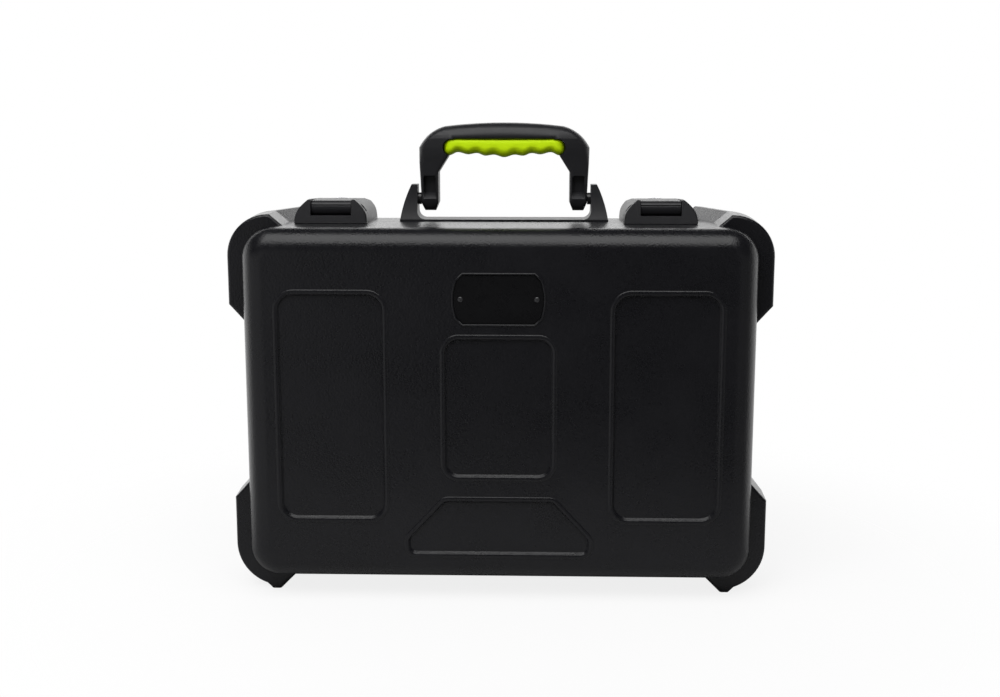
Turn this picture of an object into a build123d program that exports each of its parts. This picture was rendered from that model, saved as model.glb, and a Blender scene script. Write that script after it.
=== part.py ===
from build123d import *
import math
import os

# A moulded carrying case for seven handheld microphones, standing upright and closed.
# Millimetres. X runs to the right, Y to the back and Z up; the lid faces -Y.
# The origin lies on the floor, under the middle of the closed case.

# ---- Shells ----
shell_width = 440.0  # across the side walls, at the seam
shell_height = 309.0  # underside to top wall, at the seam
shell_ground = 17.0  # floor to underside
lid_depth = 62.0
base_depth = 88.0
wall = 3.5
draft = 1.5  # degrees, on every moulded side wall
corner_radius = 28.0
edge_radius = 20.0  # rounding between side walls and face
seam_gap = 0.5
lip_height = 5.0  # the base's lip, which the lid's rim covers
lip_thickness = 1.6
lip_clearance = 0.4
seat_thickness = 5.4  # the walls under latches, handle mount and hinges, flat on both sides

# ---- Corner bumpers, which are also the feet ----
bumper_reach = 15.5  # beyond the side wall, at the seam
bumper_rise = 9.6  # above the top wall
bumper_radius = 36.0
rear_bumper_reach = 1.5  # at the back of the base's upper bumpers
rear_bumper_rise = 10.2
rear_bumper_radius = 45.0
bumper_edge = 3.0
lid_bumper_depth = 33.0
base_bumper_depth = 58.0
arm_flat = 2.2  # straight part of an upper bumper's top arm
rear_arm_flat = 0.5
arm_slope = 40.0  # degrees, of an arm's end
side_slope = 48.0
upper_side_end = 257.0  # height where an upper bumper's side arm ends
lower_side_end = 85.0
lid_foot_flat = 9.8  # the part of a foot that stands on the floor
base_foot_flat = 25.8
foot_radius = 40.0
foot_arc_height = 42.0  # height of the foot curve's centre
foot_arc_angle = 70.0
sole = 1.0  # moulded below the floor and then cut flat

# ---- Recessed panels on both faces ----
recess_depth = 2.2
recess_slope = 38.0
side_panel_inner = 97.5
side_panel_outer = 187.2
side_panel_top = 270.2
side_panel_bottom = 74.8
side_panel_radius = 14.0
middle_panel_width = 92.0
middle_panel_top = 232.4
middle_panel_bottom = 112.4
middle_panel_radius = 12.0
foot_panel_top = 91.0
foot_panel_bottom = 43.5
foot_panel_top_width = 93.0
foot_panel_bottom_width = 156.0
foot_panel_toe = 15.0  # height of the foot panel's upright ends
foot_panel_radius = 7.0

# ---- Bare label plate ----
label_top = 286.8
label_bottom = 245.0
label_width = 76.5
label_corner = 5.0
label_bow = 3.0
label_thickness = 1.4
label_clearance = 0.3
label_pin_radius = 1.5
label_pin_spacing = 64.5
label_pin_length = 4.4
label_inset = 0.3  # the plate's face lies this far behind the lid's face

# ---- Hinges under the seam ----
hinge_height = 8.0  # floor to hinge line
hinge_spacing = 220.0
hinge_width = 90.0
knuckle_count = 5
knuckle_gap = 0.5
barrel_radius = 4.5
hinge_pin_radius = 2.0
hinge_pin_clearance = 0.08
hinge_pin_head_radius = 3.2
hinge_pin_head_length = 1.2
hinge_pin_head_chamfer = 0.5
leaf_thickness = 2.0
leaf_depth = 26.0
leaf_gap = 0.6  # leaf edge to the hinge plane
rivet_radius = 2.2
rivet_head_radius = 4.2
rivet_head_height = 1.6
rivet_head_chamfer = 0.9
rivet_tail_radius = 3.4
rivet_tail_height = 1.3
rivet_setback = 15.7  # hinge plane to a rivet's middle
leaf_corner = 4.0
rivet_pitch = 56.0
hinge_relief = 10.4  # half width of the notch between lid feet and base feet

# ---- Latches ----
latch_left_x = -147.0
latch_right_x = 138.8
latch_half_width = 31.6
latch_top_half_width = 20.2
latch_rise = 20.0  # above the seat
latch_skirt = 2.0
latch_bulge = 0.7  # of the shoulders' curve, outwards and upwards
bracket_front = 11.3  # in front of the seam
bracket_floor = 2.5
bracket_lip = 6.5
bracket_lip_thickness = 2.0
lever_half_width = 17.2
lever_side_clearance = 0.5
lever_axis_rise = 12.6
lever_axis_front = 4.8  # in front of the seam
knuckle_radius = 6.5
lever_reach = 28.4  # behind the seam
lever_thickness = 3.4
lever_crease = 0.8
lever_crease_angle = 158.0  # round the knuckle, from straight back
lever_edge = 1.0
lever_pin_radius = 1.5
lever_pin_clearance = 0.06
lever_pin_half_length = 24.7
tongue_half_width = 7.0
tongue_sweep = 26.8  # from the lever's pin to the tongue's back
tongue_thickness = 5.0
tongue_drop = 8.6
tongue_notch = 1.6
tongue_chamfer = 1.5
bracket_chamfer = 1.0
slot_clearance = 0.6
cover_clearance = 1.0
lock_depth = 62.0  # behind the seam
lock_rounding = 2.5
bolt_half_width = 4.0
bolt_height = 4.0
bolt_rise = 7.2  # seat to the bolt's underside
bolt_standoff = 0.5
button_front = 31.2  # behind the seam
button_length = 8.0
button_half_width = 8.0
button_travel = 4.0
button_proud = 0.8
button_edge = 0.5
button_grooves = 3
button_groove = 0.5
button_clearance = 0.3
spring_length = 1.2  # pressed, from end to end
spring_gauge = 0.4
spring_height = 8.0
spring_foot = 2.0
key_radius = 5.5
key_length = 12.0
key_clearance = 0.1
key_flange_radius = 5.9
key_flange_height = 1.4
key_flange_chamfer = 0.4
key_setback = 8.6  # from the lock's back
keyway_width = 1.2
keyway_length = 6.5
keyway_depth = 2.5
screw_radius = 1.7
screw_length = 11.0
screw_head_radius = 3.4
screw_head_height = 1.3
screw_tip_clearance = 0.3
screw_offset = 25.0
screw_edge = 10.0  # from a lock's ends to its screws

# ---- Carrying handle ----
handle_x = 2.7
handle_axis_y = 10.0
handle_axis_rise = 19.3  # above the top wall
handle_top = 411.8
leg_outer = 73.2  # half width at the pivot
shoulder_steps = ((-21.2, 3.1), (-6.2, 10.9), (2.0, 21.8))  # outside the leg, below the top
handle_bar_height = 13.9
handle_bar_depth = 29.0
leg_inner = 57.7  # half of the gap between the legs
leg_depth = 22.0
leg_bottom = 334.8
leg_chamfer = 3.0
leg_chamfer_height = 7.6
gusset_width = 9.5
gusset_height = 12.6
leg_flare_height = 20.0  # below the bar, where the legs widen to its depth
leg_toe = 3.0
bar_rounding = 6.0
pocket_corner = 1.5
pocket_width = 10.6
pocket_height = 14.0
pocket_floor = 351.0
pocket_depth = 6.0
grip_length = 108.6
grip_depth = 27.0
grip_height = 16.6
grip_lobes = 5
grip_lobe_pitch = 15.7
grip_lobe_depth = 2.8
grip_edge = 9.0

# ---- Handle mount: one moulding with an ear at each end ----
mount_reach = 15.2  # the plate beyond an ear's inner side
mount_depth = 32.0
mount_plate = 1.6
ear_gap = 3.4  # between leg and ear
ear_top_thickness = 5.4
ear_top = 357.8
ear_flare = 7.0
ear_flare_height = 7.0
ear_top_depth = 15.0
ear_waist_depth = 21.0  # halfway up
ear_waist_thickness = 11.7  # halfway up
handle_pin_radius = 2.5
handle_pin_clearance = 0.08
handle_collar_radius = 5.3
handle_collar_clearance = 0.3
handle_pin_depth = 11.0  # into each leg
mount_screw_spacing = 16.0
mount_screw_reach = 7.4  # beyond an ear's inner side
backing_thickness = 1.5
handle_pin_in_ear = 9.0

# ---- Foam ----
foam_side_clearance = 0.6
foam_end_clearance = 3.4
foam_corner = 20.0
drops_count = 7
drops_pitch = 59.0
drops_thickness = 44.0
drops_setback = 5.0  # behind the seam
drop_head_radius = 27.0
drop_body_width = 41.0
drop_tail_width = 33.0
drop_length = 262.0
lid_foam_thickness = 44.0

# ---- Places that follow from the sizes above ----
bumper_half = shell_width / 2 + bumper_reach
rear_bumper_half = shell_width / 2 + rear_bumper_reach
front_y = -(lid_depth + base_depth) / 2
back_y = -front_y
seam_y = front_y + lid_depth
shell_top = shell_ground + shell_height
bumper_top = shell_top + bumper_rise
rear_bumper_top = shell_top + rear_bumper_rise
shell_middle = shell_ground + shell_height / 2
lid_rim_y = seam_y - seam_gap / 2
base_rim_y = seam_y + seam_gap / 2
seam_plane = Plane.XZ.offset(-seam_y)
shoulder = [(leg_outer + out, handle_top - down) for out, down in shoulder_steps]
ear_inner = leg_outer + ear_gap
mount_half_width = ear_inner + mount_reach
hinge_places = (-hinge_spacing / 2, hinge_spacing / 2)
sink = 6.0  # how far a fused feature reaches into the wall that carries it


def block(x_span, y_span, z_span):
    """A plain block between two values on each axis."""
    (x0, x1), (y0, y1), (z0, z1) = x_span, y_span, z_span
    centre = Pos((x0 + x1) / 2, (y0 + y1) / 2, (z0 + z1) / 2)
    return centre * Box(x1 - x0, y1 - y0, z1 - z0)


def rod(radius, start, length, direction):
    """A round bar from its start along a direction."""
    return extrude(Plane(origin=start, z_dir=direction) * Circle(radius), amount=length)


def face_in_xz(y, *lines):
    """A flat face from lines drawn in X and Z, standing at a value of Y."""
    return Plane.XZ.offset(-y) * make_face(Curve() + [*lines])


def to_back(shape):
    """The same shape on the other side of the seam."""
    return mirror(shape, about=seam_plane)


def both_sides(shape):
    """A shape with its mirror image on the other side of the middle."""
    return shape + mirror(shape, about=Plane.YZ)


def drafted_block(inset, depth, face_radius):
    """A drafted block from the lid's rim towards the front, inset from the shell's outside."""
    outline = RectangleRounded(
        shell_width - 2 * inset, shell_height - 2 * inset, corner_radius - inset
    )
    placed = Plane((0, lid_rim_y, shell_middle), x_dir=(1, 0, 0), z_dir=(0, -1, 0)) * outline
    solid = extrude(placed, amount=depth - seam_gap / 2, taper=draft)
    face = solid.faces().sort_by(Axis.Y)[0]
    return fillet(face.edges(), face_radius)


def upper_bumper_face(y, half, top, radius, flat):
    """Outline of the upper right bumper: a slanted tip, a round corner and a side arm."""
    shell_half = shell_width / 2
    tip = (half - radius - flat, top)
    tip_run = (top - shell_top + sink) / math.tan(math.radians(arm_slope))
    start = (tip[0] - tip_run, shell_top - sink)
    arc = CenterArc((half - radius, top - radius), radius, 90, -90)
    side_run = (half - shell_half + sink) * math.tan(math.radians(side_slope))
    last = (shell_half - sink, upper_side_end - side_run)
    end = Polyline(arc @ 1, (half, upper_side_end), last, start)
    return face_in_xz(y, Polyline(start, tip, arc @ 0), arc, end)


def lower_bumper_face(flat, y, inset):
    """Outline of the lower right bumper: a foot, a round corner and a side arm."""
    half = bumper_half - inset
    shell_half = shell_width / 2
    side_run = (half - shell_half + sink) * math.tan(math.radians(side_slope))
    side_end = lower_side_end - inset
    last = (shell_half - sink, side_end + side_run)
    arc = CenterArc((half - foot_radius, foot_arc_height), foot_radius, 0, -foot_arc_angle)
    toe = arc @ 1
    foot = toe.X - toe.Y
    heel = foot - flat + 2 * inset
    start = (heel - shell_ground - sink, shell_ground + sink)
    return face_in_xz(
        y,
        Polyline(start, (heel + sole, -sole), (foot - sole, -sole), toe),
        arc,
        Polyline(arc @ 0, (half, side_end), last, start),
    )


def lid_bumpers():
    """The four corner bumpers of the lid."""
    half = bumper_half
    inset = lid_bumper_depth * math.tan(math.radians(draft))
    front_end_y = seam_y - lid_bumper_depth
    upper = loft_edged(
        upper_bumper_face(lid_rim_y, half, bumper_top, bumper_radius, arm_flat),
        upper_bumper_face(front_end_y, half - inset, bumper_top - inset, bumper_radius, arm_flat / 2),
    )
    lower = loft_edged(
        lower_bumper_face(lid_foot_flat, lid_rim_y, 0),
        lower_bumper_face(lid_foot_flat, front_end_y, inset),
    )
    return both_sides(upper) + both_sides(lower)


def base_bumpers():
    """The four corner bumpers of the base, drawn in front of the seam like the lid's."""
    half = bumper_half
    inset = base_bumper_depth * math.tan(math.radians(draft))
    rear_y = seam_y - base_bumper_depth
    rear_sizes = (rear_bumper_half, rear_bumper_top, rear_bumper_radius, rear_arm_flat)
    rim = upper_bumper_face(lid_rim_y, half, bumper_top, bumper_radius, arm_flat)
    upper = loft([rim, upper_bumper_face(rear_y, *rear_sizes)], ruled=True)
    lower = loft_edged(
        lower_bumper_face(base_foot_flat, lid_rim_y, 0),
        lower_bumper_face(base_foot_flat, rear_y, inset),
    )
    return both_sides(upper) + both_sides(lower)


def loft_edged(rim, front):
    """A block between two outlines, with rounded edges at the second one."""
    solid = loft([rim, front], ruled=True)
    return fillet(solid.faces().sort_by(Axis.Y)[0].edges(), bumper_edge)


def side_panel():
    """Outline of the right side panel."""
    width = side_panel_outer - side_panel_inner
    height = side_panel_top - side_panel_bottom
    centre = ((side_panel_outer + side_panel_inner) / 2, (side_panel_top + side_panel_bottom) / 2)
    return Pos(*centre) * RectangleRounded(width, height, side_panel_radius)


def middle_panel():
    """Outline of the middle panel."""
    height = middle_panel_top - middle_panel_bottom
    middle = (middle_panel_top + middle_panel_bottom) / 2
    return Pos(0, middle) * RectangleRounded(middle_panel_width, height, middle_panel_radius)


def foot_panel():
    """Outline of the low panel: a bar with sloping shoulders."""
    top = foot_panel_top_width / 2
    bottom = foot_panel_bottom_width / 2
    toe = foot_panel_bottom + foot_panel_toe
    corners = [
        (-top, foot_panel_top),
        (top, foot_panel_top),
        (bottom, toe),
        (bottom, foot_panel_bottom),
        (-bottom, foot_panel_bottom),
        (-bottom, toe),
    ]
    outline = make_face(Polyline(*corners, close=True))
    return fillet(outline.vertices(), foot_panel_radius)


def label_outline(inset):
    """Outline of the label plate: bowed ends and clipped corners."""
    half = label_width / 2 - label_bow - inset
    middle = (label_top + label_bottom) / 2
    rise = (label_top - label_bottom) / 2 - inset
    clip = rise - label_corner
    flat = half - label_corner
    right = ThreePointArc((half, clip), (half + label_bow, 0), (half, -clip))
    left = ThreePointArc((-half, -clip), (-half - label_bow, 0), (-half, clip))
    outline = Curve() + [
        Polyline((-half, clip), (-flat, rise), (flat, rise), (half, clip)),
        right,
        Polyline((half, -clip), (flat, -rise), (-flat, -rise), (-half, -clip)),
        left,
    ]
    return Pos(0, middle) * make_face(outline)


def recess(outline, depth, slope):
    """The space of a recess that starts at the lid's face and narrows inwards."""
    plane = Plane((0, front_y, 0), x_dir=(1, 0, 0), z_dir=(0, -1, 0))
    return extrude(plane * outline, amount=-depth, taper=slope)


def recess_back(outline, depth):
    """The wall that carries a recess's floor, on the inside of the face."""
    plane = Plane((0, front_y + wall - 1, 0), x_dir=(1, 0, 0), z_dir=(0, -1, 0))
    return extrude(plane * outline, amount=-(depth + 1))


def moulded_half(depth, corner_bumpers, with_label):
    """One shell, open at the rim: walls, bumpers and recessed panels."""
    solid = drafted_block(0, depth, edge_radius) + corner_bumpers
    hollow = drafted_block(wall, depth - wall, edge_radius - wall)
    shift = Pos(0, -(depth - lid_depth), 0)
    panels = [mirror(side_panel(), about=Plane.YZ), side_panel(), middle_panel(), foot_panel()]
    for outline in panels:
        hollow -= recess_back(outline, recess_depth).moved(shift)
    solid -= hollow
    for outline in panels:
        solid -= recess(outline, recess_depth, recess_slope).moved(shift)
    solid -= block((-bumper_half, bumper_half), (front_y - depth, back_y), (-2 * sole, 0))
    if with_label:
        solid -= recess(label_outline(0), label_thickness, 0)
    relief = [
        (-hinge_relief, -1),
        (-hinge_relief, hinge_height),
        (-1.0, shell_ground - 1),
        (1.0, shell_ground - 1),
        (hinge_relief, hinge_height),
        (hinge_relief, -1),
    ]
    notch = Plane((-bumper_half - 1, seam_y, 0), x_dir=(0, 1, 0), z_dir=(1, 0, 0))
    solid -= extrude(notch * make_face(Polyline(*relief, close=True)), amount=2 * bumper_half + 2)
    return solid


def rim_ring(outer_inset, inner_inset, height, notch):
    """A ring in front of the seam, left out above the lid's latch screws."""
    plane = Plane((0, seam_y, shell_middle), x_dir=(1, 0, 0), z_dir=(0, -1, 0))
    rings = []
    for inset in (outer_inset, inner_inset):
        size = (shell_width - 2 * inset, shell_height - 2 * inset)
        outline = RectangleRounded(*size, corner_radius - inset)
        rings.append(extrude(plane * outline, amount=height))
    ring = rings[0] - rings[1]
    for x in (latch_left_x, latch_right_x):
        ring -= block((x - notch, x + notch), (seam_y - height - 1, seam_y), (shell_middle, shell_top))
    return ring


def seat_top(centre_x, half_width, front, back):
    """A flat part of the top wall."""
    spans = ((centre_x - half_width, centre_x + half_width), (front, back))
    return block(*spans, (shell_top - seat_thickness, shell_top))


def seat_bottom(centre_x, front, back):
    """A flat part of the bottom wall, for a hinge leaf."""
    half = hinge_width / 2 + 2
    spans = ((centre_x - half, centre_x + half), (front, back))
    return block(*spans, (shell_ground, shell_ground + seat_thickness))


def rivet_places(centre_x, side):
    """Middle points of a leaf's rivets, with side -1 for the lid and 1 for the base."""
    y = seam_y + side * rivet_setback
    return [(centre_x - rivet_pitch / 2, y), (centre_x + rivet_pitch / 2, y)]


def hinge_rivet(x, y):
    """One rivet through leaf and shell, with a head below and a formed tail inside."""
    low = shell_ground - leaf_thickness
    high = shell_ground + seat_thickness
    shank = rod(rivet_radius, (x, y, low), high - low, (0, 0, 1))
    tail = rod(rivet_tail_radius, (x, y, high), rivet_tail_height, (0, 0, 1))
    head = rod(rivet_head_radius, (x, y, low), rivet_head_height, (0, 0, -1))
    return shank + tail + chamfer(head.edges().sort_by(Axis.Z)[0], rivet_head_chamfer)


def knuckle_spans(centre_x, first):
    """X spans of every second knuckle, from the first or the second one."""
    pitch = hinge_width / knuckle_count
    left = centre_x - hinge_width / 2
    spans = []
    for index in range(first, knuckle_count, 2):
        start = left + index * pitch + (knuckle_gap / 2 if index > 0 else 0)
        end = left + (index + 1) * pitch - (knuckle_gap / 2 if index < knuckle_count - 1 else 0)
        spans.append((start, end))
    return spans


def hinge_leaf(centre_x, side, first):
    """One leaf: a flat plate under the shell, with knuckles hanging from its edge."""
    low = shell_ground - leaf_thickness
    near = seam_y + side * leaf_gap
    far = near + side * leaf_depth
    half = hinge_width / 2
    leaf = block((centre_x - half, centre_x + half), sorted((near, far)), (low, shell_ground))
    corners = leaf.edges().filter_by(Axis.Z).sort_by(lambda edge: side * edge.center().Y)[-2:]
    leaf = fillet(corners, leaf_corner)
    drop = low - hinge_height
    web = [
        (side * leaf_gap, drop + leaf_thickness / 2),
        (side * leaf_gap, 0),
        (side * barrel_radius * 0.94, 0),
        (side * (leaf_gap + barrel_radius + leaf_thickness), drop + leaf_thickness / 2),
    ]
    for start, end in knuckle_spans(centre_x, first):
        plane = Plane((start, seam_y, hinge_height), x_dir=(0, 1, 0), z_dir=(1, 0, 0))
        section = Circle(barrel_radius) + make_face(Polyline(*web, close=True))
        leaf += extrude(plane * section, amount=end - start)
    bore = hinge_pin_radius + (hinge_pin_clearance if side < 0 else 0)
    start = (centre_x - half - 1, seam_y, hinge_height)
    leaf -= rod(bore, start, hinge_width + 2, (1, 0, 0))
    for x, y in rivet_places(centre_x, side):
        leaf -= rod(rivet_radius, (x, y, low - 1), leaf_thickness + 2, (0, 0, 1))
    return leaf


def hinge_pin(centre_x):
    """The steel pin of one hinge, with a low head at both ends."""
    half = hinge_width / 2
    pin = rod(hinge_pin_radius, (centre_x - half, seam_y, hinge_height), hinge_width, (1, 0, 0))
    for way in (-1, 1):
        start = (centre_x + way * half, seam_y, hinge_height)
        head = rod(hinge_pin_head_radius, start, hinge_pin_head_length, (way, 0, 0))
        outer = head.edges().sort_by(lambda edge: way * edge.center().X)[-1]
        pin += chamfer(outer, hinge_pin_head_chamfer)
    return pin


def latch_outline():
    """Front view of a latch: low skirt, sloping shoulders and flat top."""
    low = (latch_half_width, latch_skirt)
    high = (latch_top_half_width, latch_rise)
    bulge = ((low[0] + high[0]) / 2 + latch_bulge, (low[1] + high[1]) / 2 + latch_bulge)
    right = ThreePointArc(low, bulge, high)
    left = mirror(right, about=Plane.YZ)
    skirt = [(-low[0], low[1]), (-low[0], 0), (low[0], 0), low]
    return make_face(Curve() + [Polyline(*skirt), right, Line(high, (-high[0], high[1])), left])


def latch_plane(centre_x, y):
    """Drawing plane of a latch's front view, with its origin on the seat."""
    return Plane((centre_x, y, shell_top), x_dir=(1, 0, 0), z_dir=(0, -1, 0))


def latch_space(centre_x, half_width, y_span, z_span):
    """A block in a latch's own terms: Y from the seam and Z from the seat."""
    return block(
        (centre_x - half_width, centre_x + half_width),
        (seam_y + y_span[0], seam_y + y_span[1]),
        (shell_top + z_span[0], shell_top + z_span[1]),
    )


def lever_plane(centre_x, half_width):
    """Drawing plane of a lever's side view, with its origin on the lever's axis."""
    start = (centre_x - half_width, seam_y - lever_axis_front, shell_top + lever_axis_rise)
    return Plane(start, x_dir=(0, 1, 0), z_dir=(1, 0, 0))


def bracket_screw_places(centre_x):
    """Middle points of the two screws under a bracket's shoulders."""
    y = seam_y - bracket_front / 2
    return [(centre_x - screw_offset, y), (centre_x + screw_offset, y)]


def lock_screw_places(centre_x):
    """Middle points of the four screws under a lock body."""
    rows = (seam_y + screw_edge, seam_y + lock_depth - screw_edge)
    return [(centre_x + way * screw_offset, y) for way in (-1, 1) for y in rows]


def screw_hole(x, y):
    """The hole for one screw, through the seat and into the part above."""
    low = shell_top - seat_thickness
    return rod(screw_radius, (x, y, low), screw_length, (0, 0, 1))


def screw(x, y, washer=0.0):
    """One screw from inside the shell up into the part above."""
    low = shell_top - seat_thickness - washer
    shank = rod(screw_radius, (x, y, low), screw_length - screw_tip_clearance + washer, (0, 0, 1))
    return shank + rod(screw_head_radius, (x, y, low), screw_head_height, (0, 0, -1))


def latch_bracket(centre_x):
    """The lid's part of a latch: two shoulders that hold the lever's pin."""
    front = latch_plane(centre_x, lid_rim_y)
    bracket = extrude(front * latch_outline(), amount=bracket_front - seam_gap / 2)
    edges = bracket.faces().sort_by(Axis.Y)[0].edges().filter_by(Axis.Z, reverse=True)
    bracket = chamfer(edges.sort_by(Axis.Z)[1:], bracket_chamfer)
    slot = lever_half_width + lever_side_clearance
    lip_back = bracket_lip_thickness - bracket_front
    top = latch_rise + 1
    bracket -= latch_space(centre_x, slot, (lip_back, 1), (bracket_floor, top))
    bracket -= latch_space(centre_x, slot, (-bracket_front - 1, lip_back), (bracket_lip, top))
    bracket -= extrude(
        lever_plane(centre_x, latch_half_width + 1) * Circle(lever_pin_radius),
        amount=2 * latch_half_width + 2,
    )
    for place in bracket_screw_places(centre_x):
        bracket -= screw_hole(*place)
    return bracket


def latch_pin(centre_x):
    """The steel pin that carries a lever, with both ends inside the shoulders."""
    return extrude(
        lever_plane(centre_x, lever_pin_half_length) * Circle(lever_pin_radius),
        amount=2 * lever_pin_half_length,
    )


def latch_lever(centre_x):
    """The lever: a knuckle round the pin, a flat cover and the tongue under it."""
    reach = lever_reach + lever_axis_front
    r = knuckle_radius
    under = r - lever_thickness
    knuckle_back = math.sqrt(r**2 - under**2)
    outline = Curve() + [
        ThreePointArc((0, r), (-r, 0), (0, -r)),
        ThreePointArc((0, -r), (r * math.cos(0.3), -r * math.sin(0.3)), (knuckle_back, under)),
        Line((knuckle_back, under), (reach, under)),
        Polyline((reach, under), (reach, r - lever_edge), (reach - lever_edge, r), (0, r)),
    ]
    plane = lever_plane(centre_x, lever_half_width)
    lever = extrude(plane * make_face(outline), amount=2 * lever_half_width)
    angle = math.radians(lever_crease_angle)
    crease = Pos(r * math.cos(angle), r * math.sin(angle)) * Circle(lever_crease)
    lever -= extrude(plane * crease, amount=2 * lever_half_width)
    lever += latch_tongue(centre_x)
    bore = lever_pin_radius + lever_pin_clearance
    return lever - extrude(plane * Circle(bore), amount=2 * lever_half_width)


def latch_tongue(centre_x):
    """The tongue under the cover, with a back that is round about the lever's axis."""
    top = knuckle_radius - lever_thickness / 2
    front = tongue_sweep - tongue_thickness
    low, middle, high = [
        (math.sqrt(tongue_sweep**2 - z**2), z) for z in (-tongue_drop, -tongue_drop / 2, top)
    ]
    cut = tongue_chamfer
    outline = Curve() + [
        Polyline(high, (front, top), (front, cut - tongue_drop), (front + cut, -tongue_drop), low),
        ThreePointArc(low, middle, high),
    ]
    tongue = extrude(
        lever_plane(centre_x, tongue_half_width) * make_face(outline), amount=2 * tongue_half_width
    )
    back = tongue_sweep - lever_axis_front
    notch = bolt_half_width + slot_clearance
    heights = (bolt_rise - slot_clearance, bolt_rise + bolt_height + slot_clearance)
    return tongue - latch_space(centre_x, notch, (back - tongue_notch, back + 1), heights)


def well_back():
    """The back of a button's well, measured from the seam."""
    return button_front + button_length + button_travel + button_clearance + spring_length


def latch_lock(centre_x):
    """The base's part of a latch: slots for cover and tongue, a button well and a key bore."""
    front = latch_plane(centre_x, base_rim_y)
    lock = extrude(front * latch_outline(), amount=seam_gap / 2 - lock_depth)
    edges = lock.faces().sort_by(Axis.Y)[-1].edges().filter_by(Axis.Z, reverse=True)
    lock = fillet(edges.sort_by(Axis.Z)[1:], lock_rounding)
    top = latch_rise + 1
    slot = lever_half_width + lever_side_clearance
    cover_floor = lever_axis_rise + knuckle_radius - lever_thickness - cover_clearance
    lock -= latch_space(centre_x, slot, (0, lever_reach + slot_clearance), (cover_floor, top))
    knuckle_space = Circle(knuckle_radius + slot_clearance)
    lock -= extrude(lever_plane(centre_x, slot) * knuckle_space, amount=2 * slot)
    tongue_end = tongue_sweep - lever_axis_front + slot_clearance
    tongue_floor = lever_axis_rise - tongue_drop - slot_clearance
    tongue_slot = tongue_half_width + slot_clearance
    lock -= latch_space(centre_x, tongue_slot, (0, tongue_end), (tongue_floor, top))
    low = bolt_rise - button_clearance
    channel = (low, bolt_rise + bolt_height + button_clearance)
    half = bolt_half_width + button_clearance
    lock -= latch_space(centre_x, half, (tongue_end - 1, button_front), channel)
    half = button_half_width + button_clearance
    lock -= latch_space(centre_x, half, (button_front - button_clearance, well_back()), (low, top))
    depth = key_length + button_clearance
    key_place = (centre_x, seam_y + lock_depth - key_setback, shell_top + latch_rise)
    lock -= rod(key_radius + key_clearance, key_place, depth, (0, 0, -1))
    for place in lock_screw_places(centre_x):
        lock -= screw_hole(*place)
    return lock


def latch_button(centre_x):
    """The release button with its bolt, which slides back to free the tongue."""
    back = button_front + button_length
    top = latch_rise + button_proud
    button = latch_space(centre_x, button_half_width, (button_front, back), (bolt_rise, top))
    button = chamfer(button.faces().sort_by(Axis.Z)[-1].edges(), button_edge)
    for index in range(button_grooves):
        y = button_front + button_length * (index + 1) / (button_grooves + 1)
        start = (centre_x - button_half_width - 1, seam_y + y, shell_top + top)
        button -= rod(button_groove, start, 2 * button_half_width + 2, (1, 0, 0))
    nose = tongue_sweep - lever_axis_front + bolt_standoff
    heights = (bolt_rise, bolt_rise + bolt_height)
    return button + latch_space(centre_x, bolt_half_width, (nose, button_front + 1), heights)


def latch_spring(centre_x):
    """The button's leaf spring at the back of the well, drawn pressed."""
    low = shell_top + bolt_rise - button_clearance
    plane = Plane((centre_x, seam_y + well_back(), low))
    half = button_half_width - 1
    bend = half - spring_foot
    bow = spring_length - spring_gauge
    lines = []
    for y in (0, -spring_gauge):
        lines.append(Line((-half, y), (-bend, y)))
        lines.append(ThreePointArc((-bend, y), (0, y - bow), (bend, y)))
        lines.append(Line((bend, y), (half, y)))
    ends = [Line((way * half, 0), (way * half, -spring_gauge)) for way in (-1, 1)]
    return extrude(plane * make_face(Curve() + lines + ends), amount=spring_height)


def latch_key(centre_x):
    """The key cylinder: a plug with a flange and a keyway."""
    y = seam_y + lock_depth - key_setback
    top = shell_top + latch_rise
    plug = rod(key_radius, (centre_x, y, top), key_length, (0, 0, -1))
    flange = rod(key_flange_radius, (centre_x, y, top), key_flange_height, (0, 0, 1))
    flange = chamfer(flange.edges().sort_by(Axis.Z)[-1], key_flange_chamfer)
    keyway = block(
        (centre_x - keyway_width / 2, centre_x + keyway_width / 2),
        (y - keyway_length / 2, y + keyway_length / 2),
        (top + key_flange_height - keyway_depth, top + key_flange_height + 1),
    )
    return plug + flange - keyway


def handle_outline():
    """Front view of the handle: two legs with gussets, round shoulders and a crowned bar."""
    bar_low = handle_top - handle_bar_height
    shelf = bar_low - grip_height
    foot_top = leg_bottom + leg_chamfer_height
    curve = ThreePointArc(*reversed(shoulder))
    leg = Polyline(
        (grip_length / 2, bar_low),
        (grip_length / 2, shelf),
        (leg_inner - gusset_width, shelf),
        (leg_inner, shelf - gusset_height),
        (leg_inner, foot_top),
        (leg_inner + leg_chamfer, leg_bottom),
        (leg_outer - leg_chamfer, leg_bottom),
        (leg_outer, foot_top),
        (leg_outer, pocket_floor),
        shoulder[-1],
    )
    other = [mirror(line, about=Plane.YZ) for line in (leg, curve)]
    crown = ThreePointArc(shoulder[0], (0, handle_top), other[1] @ 1)
    underside = Line(leg @ 0, other[0] @ 0)
    return make_face(Curve() + [leg, curve, *other, crown, underside])


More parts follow.
